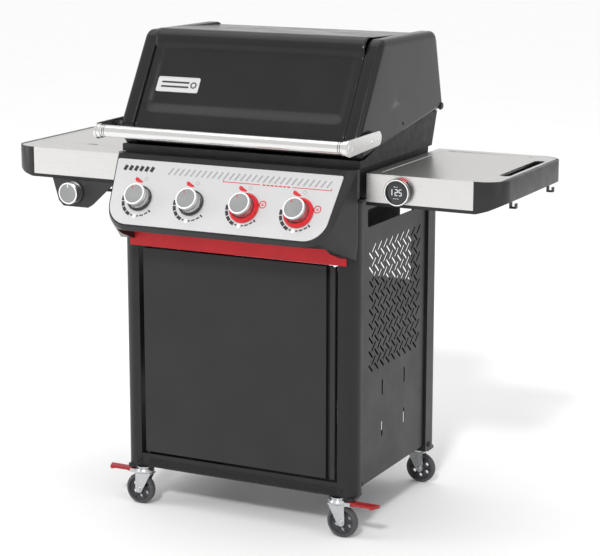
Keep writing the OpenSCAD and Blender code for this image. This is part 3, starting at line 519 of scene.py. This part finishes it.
def lid_cap(side, name):
    """End cap with a rolled edge and a soft shoulder, hollow behind its face."""
    seam = LID_HIGH.x + 0.0004
    outer = CAP_HIGH.x
    steps = [(0.004, seam), (0.0012, seam + 0.0012), (0, seam + 0.004), (0, outer - 0.012),
             (0.0012, outer - 0.0075), (0.0045, outer - 0.0035), (0.009, outer - 0.0012),
             (0.015, outer - 0.0002), (0.022, outer)]
    rings = []
    for inset, x in steps:
        ring = clipped_below(belt_outline(lid_circles(inset)))
        rings.append([(side * x, y, z) for y, z in ring])
    # the face is closed through rings drawn in towards its middle
    edge = rings[-1]
    count = len(edge)
    centre_y = sum(p[1] for p in edge) / count
    centre_z = sum(p[2] for p in edge) / count
    for share in (0.75, 0.45, 0.15):
        rings.append([(p[0], centre_y + (p[1] - centre_y) * share, centre_z + (p[2] - centre_z) * share)
                      for p in edge])
    middle_ring = len(rings) - 1
    # the inner wall, from behind the face back to the seam
    for x, inset in ((outer - 0.005, 0.02), (outer - 0.012, 0.006), (seam, 0.005)):
        ring = clipped_below(belt_outline(lid_circles(inset)))
        rings.append([(side * x, y, z) for y, z in ring])
    inner_ring, seam_ring = middle_ring + 1, middle_ring + 3
    verts = [p for ring in rings for p in ring]
    faces = bands(range(middle_ring + 1), count) + bands(range(seam_ring, middle_ring, -1), count)
    for ring in (middle_ring, inner_ring):
        faces.append(tuple(ring * count + i for i in range(count)))
    faces += bands((0, seam_ring), count)
    cap = piece(f"lid_cap_{name}", "lid", verts, faces, ENAMEL, "cast_dark")
    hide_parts(f"lid_end_{name}")


def smooth_step(value, low, high):
    """Eased share of the way from low to high, held at 0 and 1 outside."""
    share = min(1, max(0, (value - low) / (high - low)))
    return share * share * (3 - 2 * share)


def lid_skin():
    """Formed lid sheet: lower lip, front with a pressed-in field, bullnose, top and back."""
    half = LID_HIGH.x
    front, back, top = LID_LOW.y, LID_HIGH.y, LID_HIGH.z
    slope_low = (front + 0.0029, top - 0.2219)
    slope_high = (front + 0.1092, top - 0.0471)
    nose = (front + 0.142, top - 0.035, 0.035)
    outline = [(front + 0.002, top - 0.2695), (front, top - 0.2675), (front, top - 0.226)]
    along = math.hypot(slope_high[0] - slope_low[0], slope_high[1] - slope_low[1])
    count = 44
    for k in range(count + 1):
        share = k / count
        outline.append((slope_low[0] + (slope_high[0] - slope_low[0]) * share,
                        slope_low[1] + (slope_high[1] - slope_low[1]) * share))
    first_flat = 3
    last_flat = first_flat + count
    for degrees in range(176, 70, -6):
        angle = math.radians(degrees)
        point = (nose[0] + nose[2] * math.cos(angle), nose[1] + nose[2] * math.sin(angle))
        if point[0] < outline[last_flat][0] + 0.0005 and point[1] < outline[last_flat][1]:
            continue
        outline.append(point)
    circles = lid_circles(0.006)
    back_top, back_low = circles[2], circles[1]
    for degrees in range(90, 10, -8):
        angle = math.radians(degrees)
        outline.append((back_top[0] + back_top[2] * math.cos(angle),
                        back_top[1] + back_top[2] * math.sin(angle)))
    outline.append((back, back_low[1]))
    outline.append((back_low[0] + back_low[2] * 0.7, CAP_LOW.z + 0.0665))
    columns = 72
    edge_x = 0.008
    field_half = half - edge_x - 0.004
    verts = []
    for k, (y, z) in enumerate(outline):
        # the field is deepest at its lower edge and runs out under the bullnose
        share = (k - first_flat) / count
        for c in range(columns + 1):
            x = -half + 2 * half * c / columns
            depth = 0
            if 0 <= share <= 1:
                rise = along * share
                up = smooth_step(rise, 0.024, 0.062)
                across = smooth_step(field_half - abs(x), 0, 0.024)
                depth = 0.0085 * up * across * (1 - 0.35 * share)
            verts.append((x, y + depth * 0.8545, z - depth * 0.5196))
    faces = []
    for k in range(len(outline) - 1):
        for c in range(columns):
            a = k * (columns + 1) + c
            faces.append((a, a + 1, a + columns + 2, a + columns + 1))
    skin = piece("lid_formed_sheet", "lid", verts, faces, ENAMEL, "lid_enamel")
    shell = skin.modifiers.new("sheet thickness", "SOLIDIFY")
    shell.thickness = 0.0018
    shell.offset = -1
    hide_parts("lid_sheet")


# plane of the lid's front field: x across, y up the slope, z out
LID_SLOPE = math.radians(58.7)
LID_OUT = Vector((0, -math.sin(LID_SLOPE), math.cos(LID_SLOPE)))


def on_lid(x, up, out):
    """Frame on the lid's front, measured up the slope from the fold above the lip."""
    origin = Vector((x, LID_LOW.y + 0.0029, LID_HIGH.z - 0.2219))
    origin += Vector((0, math.cos(LID_SLOPE), math.sin(LID_SLOPE))) * up + LID_OUT * out
    return frame_at(origin, X, LID_OUT)


def badge():
    """Blank metal badge: raised rim, sunk field and two plain bars."""
    width, height = 0.119, 0.041
    place = on_lid(-0.199, 0.109, -0.0075)

    def outline(inset):
        return rounded_rectangle(width - 2 * inset, height - 2 * inset, 0.005 - min(inset, 0.004))

    rim = cushioned(outline, [(0, 0), (0, 0.0022), (0.0006, 0.0028), (0.0026, 0.0028), (0.003, 0.002)])
    piece("lid_badge_plate", "lid", *joined([(*rim, place)]), SILVER, "silver_panel")
    bars = []
    for up in (0.006, -0.006):
        bars.append((*prism(rounded_rectangle(0.078, 0.0045, 0.002), 0.0019, 0.0026),
                     place @ Matrix.Translation((-0.008, up, 0))))
    ring = lathe_mesh([(0.0085, 0.0018), (0.0085, 0.0026), (0.0055, 0.0026), (0.0055, 0.0018)], 32)
    bars.append((*ring, place @ Matrix.Translation((0.044, 0, 0))))
    piece("lid_badge_bars", "lid", *joined(bars), INK_BLACK_AND_HOLE_SHADE, "black_paint")


def hinge_caps():
    """Round caps on the lid's rear corners, on the pivot axis."""
    cap = lathe_mesh([(0.001, 0), (0.009, 0), (0.0105, 0.0012), (0.0105, 0.004), (0.0095, 0.0048),
                      (0.0001, 0.005)], 32)
    parts = []
    for side, _ in SIDES:
        start = Vector((side * (CAP_HIGH.x - 0.0045), LID_PIVOT.y, LID_PIVOT.z))
        parts.append((*cap, frame_at(start, Y, X * side)))
    piece("lid_hinge_caps", "lid", *joined(parts), PLASTIC, "cast_dark")


def handle_details():
    """Screws on the brackets, end discs, and dark rings that are painted shade in the grooves of the handle.
    """
    low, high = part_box("handle_brackets")
    tube_low, tube_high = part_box("handle_tube")
    centre = (tube_low + tube_high) / 2
    places = []
    face = high.x - 0.0002
    for side, name in SIDES:
        direction = X * side
        screws(f"handle_screws_{name}", "lid",
               [(side * face, high.y - 0.0175, high.z - 0.0205),
                (side * face, high.y - 0.055, high.z - 0.0208)],
               direction, 0.0036, TUBE, "steel")
        places.append(frame_at(Vector((side * face, centre.y, centre.z)), Y, direction))
    disc = lathe_mesh([(0.0125, 0), (0.0125, 0.0006), (0.0118, 0.0012), (0.0105, 0.0012),
                       (0.0098, 0.0006), (0.0001, 0.0006)], 40)
    piece("handle_end_discs", "lid", *joined([(*disc, place) for place in places]), CHROME, "steel")
    # dark rings in the grooves near each tube end: painted shade
    groove = lathe_mesh([(0.01495, -0.0009), (0.01515, -0.0006), (0.01515, 0.0006), (0.01495, 0.0009)], 48)
    rings = []
    for side, _ in SIDES:
        for offset in (0.016, 0.021):
            origin = Vector((side * (tube_high.x - offset), centre.y, centre.z))
            rings.append((*groove, frame_at(origin, Y, X)))
    piece("handle_groove_shade", "lid", *joined(rings), DARK_PLASTIC_AND_SHADE, "plastic")


def side_marks():
    """Small bolts on the cookbox sides, just under the parting line."""
    low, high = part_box("cookbox")
    for side, name in SIDES:
        places = [(side * (high.x - 0.0006), low.y + 0.247 + dy, high.z - 0.024 + dz)
                  for dy, dz in ((0, 0), (0.012, 0.003), (-0.012, -0.004))]
        screws(f"cookbox_bolts_{name}", "cart", places[:1], X * side, 0.0052, PLASTIC, "plastic")
        screws(f"cookbox_pins_{name}", "cart", places[1:], X * side, 0.0022, PLASTIC, "plastic")


lid_skin()
for lid_side, side_name in SIDES:
    lid_cap(lid_side, side_name)
badge()
hinge_caps()
handle_details()
side_marks()


# ---------------------------------------------------------------- control panel

KNOBS = [joints[f"valve_{i}_turn"] for i in range(1, 6)]
PANEL_OUT = Vector(KNOBS[0]["axis"])
PANEL_UP = PANEL_OUT.cross(X)
ROW = Vector((0, KNOBS[0]["pos_m"][1], KNOBS[0]["pos_m"][2]))
FILM = 0.00015


def on_panel(x, up, out=0.0):
    """Frame on the panel, measured from the middle of the knob row, in millimetres."""
    origin = ROW + X * (x * MM) + PANEL_UP * (up * MM) + PANEL_OUT * (out * MM)
    return frame_at(origin, X, PANEL_OUT)


def printed_shapes(name, shapes, material):
    """Thin printed outlines in millimetres at (x, up) places on the panel, as one piece."""
    parts = []
    for outline, x, up in shapes:
        metres = [(px * MM, py * MM) for px, py in outline]
        parts.append((*prism(metres, 0, FILM), on_panel(x, up)))
    piece(name, "cart", *joined(parts), material, "silver_panel", smooth=False)


def bar(x0, y0, x1, y1, width):
    """Outline of a straight stroke."""
    length = math.hypot(x1 - x0, y1 - y0)
    nx, ny = -(y1 - y0) / length * width / 2, (x1 - x0) / length * width / 2
    return [(x0 - nx, y0 - ny), (x1 - nx, y1 - ny), (x1 + nx, y1 + ny), (x0 + nx, y0 + ny)]


def ring_outline(radius, width, steps=20):
    """A ring as a list of sector outlines."""
    return [arc_band(radius - width / 2, radius + width / 2, 90 * k, 90 * (k + 1), steps // 4)
            for k in range(4)]


def panel_graphics():
    """Heat scales round the knobs, hatch and bracket lines, all plain strokes without words."""
    knob_x = [joint["pos_m"][0] / MM for joint in KNOBS[:4]]
    black, red, grey, white = [], [], [], []
    for x in knob_x:
        # heat scale: thick on the left, thin on the right, with a white tick below
        for start, end in ((174, 190), (193, 209), (212, 228), (231, 247)):
            black.append((arc_band(42.0, 50.0, start, end), x, 0))
        for start, end in ((251, 258), (274, 281), (285, 297), (301, 313)):
            black.append((arc_band(43.5, 47.0, start, end, 5), x, 0))
        black.append((arc_band(42.0, 49.5, 317, 322, 3), x, 0))
        white.append((arc_band(41.0, 51.0, 262, 270, 3), x, 0))
        grey += [(outline, x + 3, 52.5) for outline in ring_outline(4.2, 1.2)]
        red.append(([(-3.5, 44.5), (-14, 50.5), (-21, 55.0), (-26.5, 55.5), (-28, 50.5), (-24.5, 45.0),
                     (-15, 42.0), (-7, 41.5)], x, 0))
    for x in knob_x[2:]:
        red += [(outline, x + 45.8, 13.0) for outline in ring_outline(8.6, 2.6, 32)]
        red.append((arc_band(29.5, 37.5, -48, 50, 12), x, 0))
        red.append((bar(34, 12, 38, 13, 5), x, 0))
        red.append((bar(45.8, 9.5, 45.8, 14.5, 2.0), x, 0))
        red += [(arc_band(2.6, 3.8, start, end, 6), x + 45.8, 13.0) for start, end in ((100, 280), (-60, 60))]
    # slanted hatch band
    for k in range(29):
        x = -156 + k * 15.3
        grey.append((bar(x, 68.5, x + 10, 86.5, 4.6), 0, 0))
    # bracket line over the two right knobs, with a plain row of dashes in its middle
    red.append((bar(-2.5, 62.5, 98, 62.5, 1.9), 0, 0))
    red.append((bar(184, 62.5, 286, 62.5, 1.9), 0, 0))
    red += [(bar(x, 61.5, x, 68.0, 1.9), 0, 0) for x in (-2.5, 286)]
    red += [(bar(x - 4, 62.5, x + 4, 62.5, 3.4), 0, 0) for x in range(108, 180, 11)]
    # plain slanted blocks at the upper left
    black += [(bar(x, 72.0, x + 5, 85.0, 9.5), 0, 0) for x in (-282, -267, -252, -237, -222, -207)]
    printed_shapes("panel_print_black", black, INK_BLACK_AND_HOLE_SHADE)
    printed_shapes("panel_print_red", red, INK_RED)
    printed_shapes("panel_print_grey", grey, INK_GREY)
    printed_shapes("panel_print_white", white, WHITE)


def knob_collars_and_shade_rings():
    """Wide red collars round the two right knobs, and slim dark rings round the left pair that are painted
    shade at the foot of each knob.
    """
    wide = [(29.3, 0), (36.8, 0), (38.2, 1.2), (38.2, 3.4), (36.6, 5.0), (35.2, 8.6), (34.0, 9.9),
            (31.0, 9.9), (29.3, 9.0), (29.3, 0)]
    slim = [(29.3, 0), (31.6, 0), (32.4, 0.8), (32.4, 5.4), (31.6, 6.2), (29.9, 6.2), (29.3, 5.6),
            (29.3, 0)]
    # the slim dark rings round the left pair are painted shade in the gap at each knob's foot
    for kind, material, profile, pair in (("dark", DARK_PLASTIC_AND_SHADE, slim, KNOBS[:2]),
                                          ("red", RED, wide, KNOBS[2:4])):
        collar = lathe_mesh([(r * MM, h * MM) for r, h in profile], 64)
        parts = [(*collar, frame_at(Vector(joint["pos_m"]), X, PANEL_OUT)) for joint in pair]
        made = piece(f"knob_collars_and_shade_rings_{kind}", "cart", *joined(parts), material,
                     "red_paint" if kind == "red" else "plastic")
        if kind == "red":
            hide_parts("knob_bezels")


def knob(index):
    """Control knob: fluted grip, bright band, white rim and a ribbed grey face."""
    joint = KNOBS[index - 1]
    place = frame_at(Vector(joint["pos_m"]), X, Vector(joint["axis"]))
    body = f"knob_body_{index}"
    segments = 144
    grip = []
    for radius, height, flute in ((4.5, 4, 0), (25.5, 4, 0), (27.0, 4.4, 0), (27.4, 5.6, 0), (27.5, 8.5, 0),
                                  (27.3, 9.0, 0.35), (27.3, 22.0, 0.35), (27.5, 22.6, 0), (27.9, 23.6, 0),
                                  (27.9, 31.2, 0), (27.6, 32.4, 0), (26.8, 33.0, 0)):
        ring = []
        for i in range(segments):
            angle = 2 * math.pi * i / segments
            r = (radius - (flute if i % 4 < 2 else 0)) * MM
            ring.append((r * math.cos(angle), r * math.sin(angle), height * MM))
        grip.append(ring)
    verts = [p for ring in grip for p in ring]
    faces = bands(range(len(grip)), segments)
    shell = piece(f"knob_grip_{index}", body, *joined([(verts, faces, place)]), KNOB_SILVER, "knob_metal")
    rim = lathe_mesh([(r * MM, h * MM) for r, h in ((26.4, 32.2), (27.1, 32.4), (27.1, 32.9), (26.7, 33.3),
                                                    (24.6, 33.4), (24.0, 33.2), (23.9, 32.6))], 72)
    piece(f"knob_rim_{index}", body, *joined([(*rim, place)]), WHITE, "zinc")
    face = lathe_mesh([(r * MM, h * MM) for r, h in [(24.0, 32.9)] + [
        (23.4 - 0.9 * k, 32.5 + 0.22 * (k % 2)) for k in range(25)] + [(0.05, 32.6)]], 72)
    piece(f"knob_face_{index}", body, *joined([(*face, place)]), KNOB_GREY, "knob_metal")
    mark = [(-1.1, 15), (1.1, 15), (1.1, 23), (-1.1, 23)]
    turned = place @ Matrix.Rotation(math.radians(28), 4, "Z") if index < 5 else place
    outline = [(x * MM, y * MM) for x, y in mark]
    piece(f"knob_mark_{index}", body, *joined([(*prism(outline, 32.4 * MM, 33.0 * MM), turned)]),
          INK_RED if index < 5 else WHITE, "red_paint", smooth=False)
    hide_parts(f"knob_{index}")


panel_graphics()
knob_collars_and_shade_rings()
for number in range(1, 6):
    knob(number)


# ---------------------------------------------------------------- display on the right table

POD_LOW, POD_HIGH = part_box("thermometer_pod")
POD_CENTRE = Vector(((POD_LOW.x + POD_HIGH.x) / 2, POD_LOW.y, (POD_LOW.z + POD_HIGH.z) / 2))


def display():
    """Bright ring, pale bezel, dark lens, plain lit digits and a red band on the pod."""
    place = frame_at(POD_CENTRE, X, -Y)
    ring = lathe_mesh([(r * MM, h * MM) for r, h in ((32.5, -5), (32.5, -2.2), (31.6, -0.6), (30.2, 0),
                                                     (28.4, 0), (27.7, -0.6), (27.4, -1.6))], 72)
    piece("display_ring", "cart", *joined([(*ring, place)]), CHROME, "zinc")
    bezel = lathe_mesh([(r * MM, h * MM) for r, h in ((28.6, 0), (30.6, 0.3), (31.4, -0.3), (31.4, -0.8),
                                                      (28.6, -0.8))], 72)
    piece("display_bezel", "cart", *joined([(*bezel, place)]), WHITE, "zinc")
    lens = lathe_mesh([(r * MM, h * MM) for r, h in ((27.4, -1.4), (26.8, -0.9), (18, -0.6), (8, -0.45),
                                                     (0.05, -0.4))], 64)
    piece("display_lens", "cart", *joined([(*lens, place)]), LENS, "plastic")
    strokes = [bar(-11, -6, -11, 8, 1.7)]
    for x, segments in ((0, "abged"), (10, "afgcd")):
        ends = {"a": (-3, 8, 3, 8), "b": (3, 8, 3, 1), "c": (3, 1, 3, -6), "d": (-3, -6, 3, -6),
                "e": (-3, -6, -3, 1), "f": (-3, 1, -3, 8), "g": (-3, 1, 3, 1)}
        strokes += [bar(x + ends[s][0], ends[s][1], x + ends[s][2], ends[s][3], 1.6) for s in segments]
    strokes += [bar(-6, 14, -2, 14, 1.3), bar(1, 14, 3, 14, 1.3)]
    strokes += [bar(-7 + 5 * k, -14, -4.5 + 5 * k, -14, 1.3) for k in range(3)]
    parts = [(*prism([(x * MM, y * MM) for x, y in s], -0.5 * MM, -0.2 * MM), place) for s in strokes]
    piece("display_digits", "cart", *joined(parts), LIT, "zinc", smooth=False)
    # red band on the pod's upper side
    sector = [(x * MM, y * MM) for x, y in arc_band(27.2, 32.8, 52, 86, 8)]
    band = prism(sector, -16 * MM, -6 * MM)
    piece("display_red_band", "cart", *joined([(*band, place)]), INK_RED, "red_paint", smooth=False)


display()


# ---------------------------------------------------------------- tables and side burner

def table_trim():
    """Screws in the rear rails of both tables."""
    for side, name in SIDES:
        low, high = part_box("right_table_frame" if side > 0 else "left_table_frame")
        outer = high.x if side > 0 else -low.x
        rail_z = high.z - 0.038
        screws(f"table_back_screws_{name}", "cart",
               [(side * x, high.y - 0.0026, rail_z) for x in (outer - 0.30, outer - 0.12)],
               Y, 0.0042, PLASTIC, "zinc")


def slot_rim():
    """Rolled rim round the long slot of the right table."""
    low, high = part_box("right_table_top")
    centre = Vector((high.x - 0.022, (low.y + high.y) / 2 + 0.013, high.z))

    def outline(inset):
        return rounded_rectangle(0.028 - 2 * inset, 0.260 - 2 * inset, 0.0139 - inset, 10)

    def inner(inset):
        return rounded_rectangle(0.0232 - 2 * inset, 0.2552 - 2 * inset, 0.0115 - inset, 10)

    loops = [(outline(0), -0.0004), (outline(0.0006), 0), (inner(-0.0006), 0), (inner(0), -0.0006),
             (inner(0), -0.0045)]
    verts = [(x, y, z) for loop, z in loops for x, y in loop]
    faces = bands(range(len(loops)), len(loops[0][0]))
    rim = piece("table_slot_rim", "cart", verts, faces, PLASTIC, "plastic", matrix=Matrix.Translation(centre))
    shell = rim.modifiers.new("thickness", "SOLIDIFY")
    shell.thickness = 0.0006
    shell.offset = -1


def side_burner_parts():
    """Burner cap with flame ports drawn as black discs of painted shade, and an igniter rod, on the side
    burner.
    """
    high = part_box("side_burner_bowl")[1]
    grate_low, grate_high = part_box("side_burner_grate")
    centre = Vector(((grate_low.x + grate_high.x) / 2, (grate_low.y + grate_high.y) / 2, 0))
    head = Vector((centre.x, centre.y, high.z - 0.0215))
    cap = lathe_mesh([(0.039, 0), (0.0405, 0.0015), (0.0400, 0.004), (0.034, 0.0075), (0.018, 0.009),
                      (0.012, 0.0085), (0.0002, 0.0085)], 48)
    piece("side_burner_cap", "cart", *joined([(*cap, Matrix.Translation(head))]), IRON, "grate_iron")
    # black discs at the flame ports: painted shade in the holes
    port = lathe_mesh([(0.0001, 0), (0.0016, 0), (0.0016, 0.0012), (0.0001, 0.0012)], 10)
    ports = []
    for k in range(28):
        angle = 2 * math.pi * k / 28
        outward = Vector((math.cos(angle), math.sin(angle), 0))
        ports.append((*port, frame_at(head + outward * 0.0378 - Z * 0.0045, Z, outward)))
    piece("side_burner_ports", "cart", *joined(ports), INK_BLACK_AND_HOLE_SHADE, "grate_iron")
    rod = lathe_mesh([(0.003, 0), (0.003, 0.016), (0.001, 0.017), (0.001, 0.023), (0.0001, 0.0235)], 16)
    start = head + Vector((0.046, 0, -0.021))
    piece("side_burner_igniter", "cart", *joined([(*rod, Matrix.Translation(start))]), WHITE, "zinc")


def burner_fittings():
    """Rows of gas ports on the main burners, drawn as black discs of painted shade."""
    low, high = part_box("burner_tubes")
    radius = (high.z - low.z) / 2
    centre_z = (high.z + low.z) / 2
    # black discs at the gas ports: painted shade in the holes
    port = lathe_mesh([(0.0001, 0), (0.0013, 0), (0.0013, 0.0006), (0.0001, 0.0006)], 8)
    ports = []
    count = 36
    for joint in KNOBS[:4]:
        x = joint["pos_m"][0]
        for side in (1, -1):
            outward = Vector((side * math.cos(math.radians(35)), 0, math.sin(math.radians(35))))
            for k in range(count):
                y = low.y + 0.05 + (high.y - low.y - 0.07) * k / (count - 1)
                place = Vector((x, y, centre_z)) + outward * (radius - 0.0002)
                ports.append((*port, frame_at(place, Y, outward)))
    piece("burner_ports", "cart", *joined(ports), INK_BLACK_AND_HOLE_SHADE, "steel")


softened("right_table_frame", "cart", 0.004)
softened("left_table_frame", "cart", 0.004)
table_trim()
slot_rim()
side_burner_parts()
burner_fittings()


# ---------------------------------------------------------------- cart details

def corner_screws():
    """Screws on the back panel and on the rear beam."""
    low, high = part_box("back_panel")
    places = [(x, high.y - 0.0004, z) for x in (low.x + 0.02, (low.x + high.x) / 2, high.x - 0.02)
              for z in (low.z + 0.02, high.z - 0.02)]
    screws("back_panel_screws", "cart", places, Y, 0.0045, ZINC, "zinc")
    low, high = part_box("rear_top_beam")
    places = [(x, high.y - 0.0004, (low.z + high.z) / 2) for x in (low.x + 0.02, high.x - 0.02)]
    screws("rear_beam_screws", "cart", places, Y, 0.005, ZINC, "zinc")


def wheel_details():
    """Moulded ring and ribs on both faces of each wheel, and nuts on its axle."""
    reach = 0.0149
    for corner in CORNERS:
        low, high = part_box(f"wheel_{corner}")
        centre = (low + high) / 2
        half = (high.y - low.y) / 2
        ring = lathe_mesh([(0.0296, half - 0.0022), (0.0302, half - 0.0009), (0.0318, half - 0.0003),
                           (0.0334, half - 0.0009), (0.0338, half - 0.0024)], 64)
        rings = [(*ring, frame_at(centre, X, direction)) for direction in (Y, -Y)]
        piece(f"wheel_rings_{corner}", f"wheel_body_{corner}", *joined(rings), HUB, "tread")
        rib = prism([(0.0110, -0.0011), (0.0295, -0.0016), (0.0295, 0.0016), (0.0110, 0.0011)],
                    0.0029, 0.0062)
        ribs = []
        for direction in (Y, -Y):
            for k in range(6):
                place = frame_at(centre, X, direction) @ Matrix.Rotation(math.radians(60 * k), 4, "Z")
                ribs.append((*rib, place))
        piece(f"wheel_ribs_{corner}", f"wheel_body_{corner}", *joined(ribs), HUB, "tread")
        nut = lathe_mesh([(0.0062, 0), (0.0062, 0.0022), (0.0052, 0.003), (0.0001, 0.003)], 6)
        nuts = [(*nut, frame_at(centre + direction * reach, X, direction)) for direction in (Y, -Y)]
        piece(f"axle_nuts_{corner}", f"caster_{corner}", *joined(nuts), ZINC, "zinc", smooth=False)


def caster_necks():
    """Turned swivel housings between the forks and the plates."""
    profile = [(0.0192, 0.0), (0.0200, 0.0008), (0.0200, 0.0032), (0.0186, 0.0044), (0.0186, 0.0128),
               (0.0200, 0.0140), (0.0214, 0.0142), (0.0214, 0.0160), (0.0196, 0.0164)]
    for corner in CORNERS:
        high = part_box(f"caster_fork_{corner}")[1]
        centre = Vector(joints[f"caster_{corner}_swivel"]["pos_m"])
        place = Matrix.Translation((centre.x, centre.y, high.z - 0.0170))
        piece(f"caster_neck_{corner}", f"caster_{corner}", *joined([(*lathe_mesh(profile, 64), place)]),
              ZINC, "zinc")


def door_details():
    """Folded stiffener on the door's inner face."""
    low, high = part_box("door_panel")
    inner = low.y + 0.0015
    middle = (low.z + high.z) / 2
    section = [(0, 0), (0.006, 0), (0.011, 0.009), (0.029, 0.009), (0.034, 0), (0.040, 0), (0.040, 0.0014),
               (0.0347, 0.0014), (0.0297, 0.0104), (0.0103, 0.0104), (0.0053, 0.0014), (0, 0.0014)]
    length = high.z - low.z - 0.08
    verts, faces = prism(section, -length / 2, length / 2)
    place = Matrix.Translation((-0.03, inner, middle))
    piece("door_stiffener", "door", *joined([(verts, faces, place)]), DOOR, "black_paint", smooth=False)


corner_screws()
wheel_details()
caster_necks()
door_details()


# ---------------------------------------------------------------- floor, light and camera

def paper(name, colour, roughness):
    """Matt studio paper with a faint cloudiness."""
    shader = Shader(name, colour, roughness, specular=0.2)
    shader.vary_colour(shader.noise(3, 3), 0.006)
    return shader.material


def floor():
    half = 45.0
    mesh = bpy.data.meshes.new("floor")
    corners = [(-half, -half, 0), (half, -half, 0), (half, half, 0), (-half, half, 0)]
    mesh.from_pydata(corners, [], [(0, 1, 2, 3)])
    mesh.materials.append(paper("floor_paper", (0.9, 0.9, 0.9), 0.9))
    made = bpy.data.objects.new("floor", mesh)
    bpy.context.scene.collection.objects.link(made)


def world(strength):
    scene_world = bpy.data.worlds.new("studio")
    scene_world.use_nodes = True
    background = scene_world.node_tree.nodes["Background"]
    background.inputs["Color"].default_value = (1, 1, 1, 1)
    background.inputs["Strength"].default_value = strength
    bpy.context.scene.world = scene_world


def area_light(name, place, aim, size, power):
    lamp = bpy.data.lights.new(name, "AREA")
    lamp.shape = "RECTANGLE"
    lamp.size, lamp.size_y = size
    lamp.energy = power
    made = bpy.data.objects.new(name, lamp)
    made.location = place
    made.rotation_mode = "QUATERNION"
    made.rotation_quaternion = (Vector(aim) - Vector(place)).to_track_quat("-Z", "Y")
    bpy.context.scene.collection.objects.link(made)


def sun(name, direction, strength, spread):
    lamp = bpy.data.lights.new(name, "SUN")
    lamp.energy = strength
    lamp.angle = math.radians(spread)
    made = bpy.data.objects.new(name, lamp)
    made.rotation_mode = "QUATERNION"
    made.rotation_quaternion = Vector(direction).to_track_quat("-Z", "Y")
    bpy.context.scene.collection.objects.link(made)


def camera():
    """Camera at azimuth 26.8 and elevation 12.2 degrees, a long lens 5.1 m away."""
    azimuth, elevation, distance = math.radians(26.81), math.radians(12.22), 5.131
    back = Vector((math.sin(azimuth) * math.cos(elevation), -math.cos(azimuth) * math.cos(elevation),
                   math.sin(elevation)))
    target = Vector((0, 0.1208, 0.5672))
    lens = bpy.data.cameras.new("camera")
    lens.lens = 118.55
    lens.sensor_width = 36
    lens.shift_x = 0.0099
    lens.shift_y = -0.0026
    made = bpy.data.objects.new("camera", lens)
    made.location = target + back * distance
    made.rotation_mode = "QUATERNION"
    made.rotation_quaternion = (-back).to_track_quat("-Z", "Y")
    bpy.context.scene.collection.objects.link(made)
    bpy.context.scene.camera = made


floor()
world(0.78)
sun("key", (-0.18, 0.76, -0.63), 1.5, 7)
area_light("overhead", (-0.5, 0.2, 4.8), (0, 0, 0.5), (4.5, 4.5), 60)
area_light("left_panel", (-4.2, -2.2, 1.8), (0, 0, 0.6), (1.2, 3.4), 40)
area_light("right_panel", (4.4, -1.0, 2.0), (0, 0, 0.6), (1.6, 3.4), 18)
camera()
bpy.context.scene.view_settings.view_transform = "Standard"
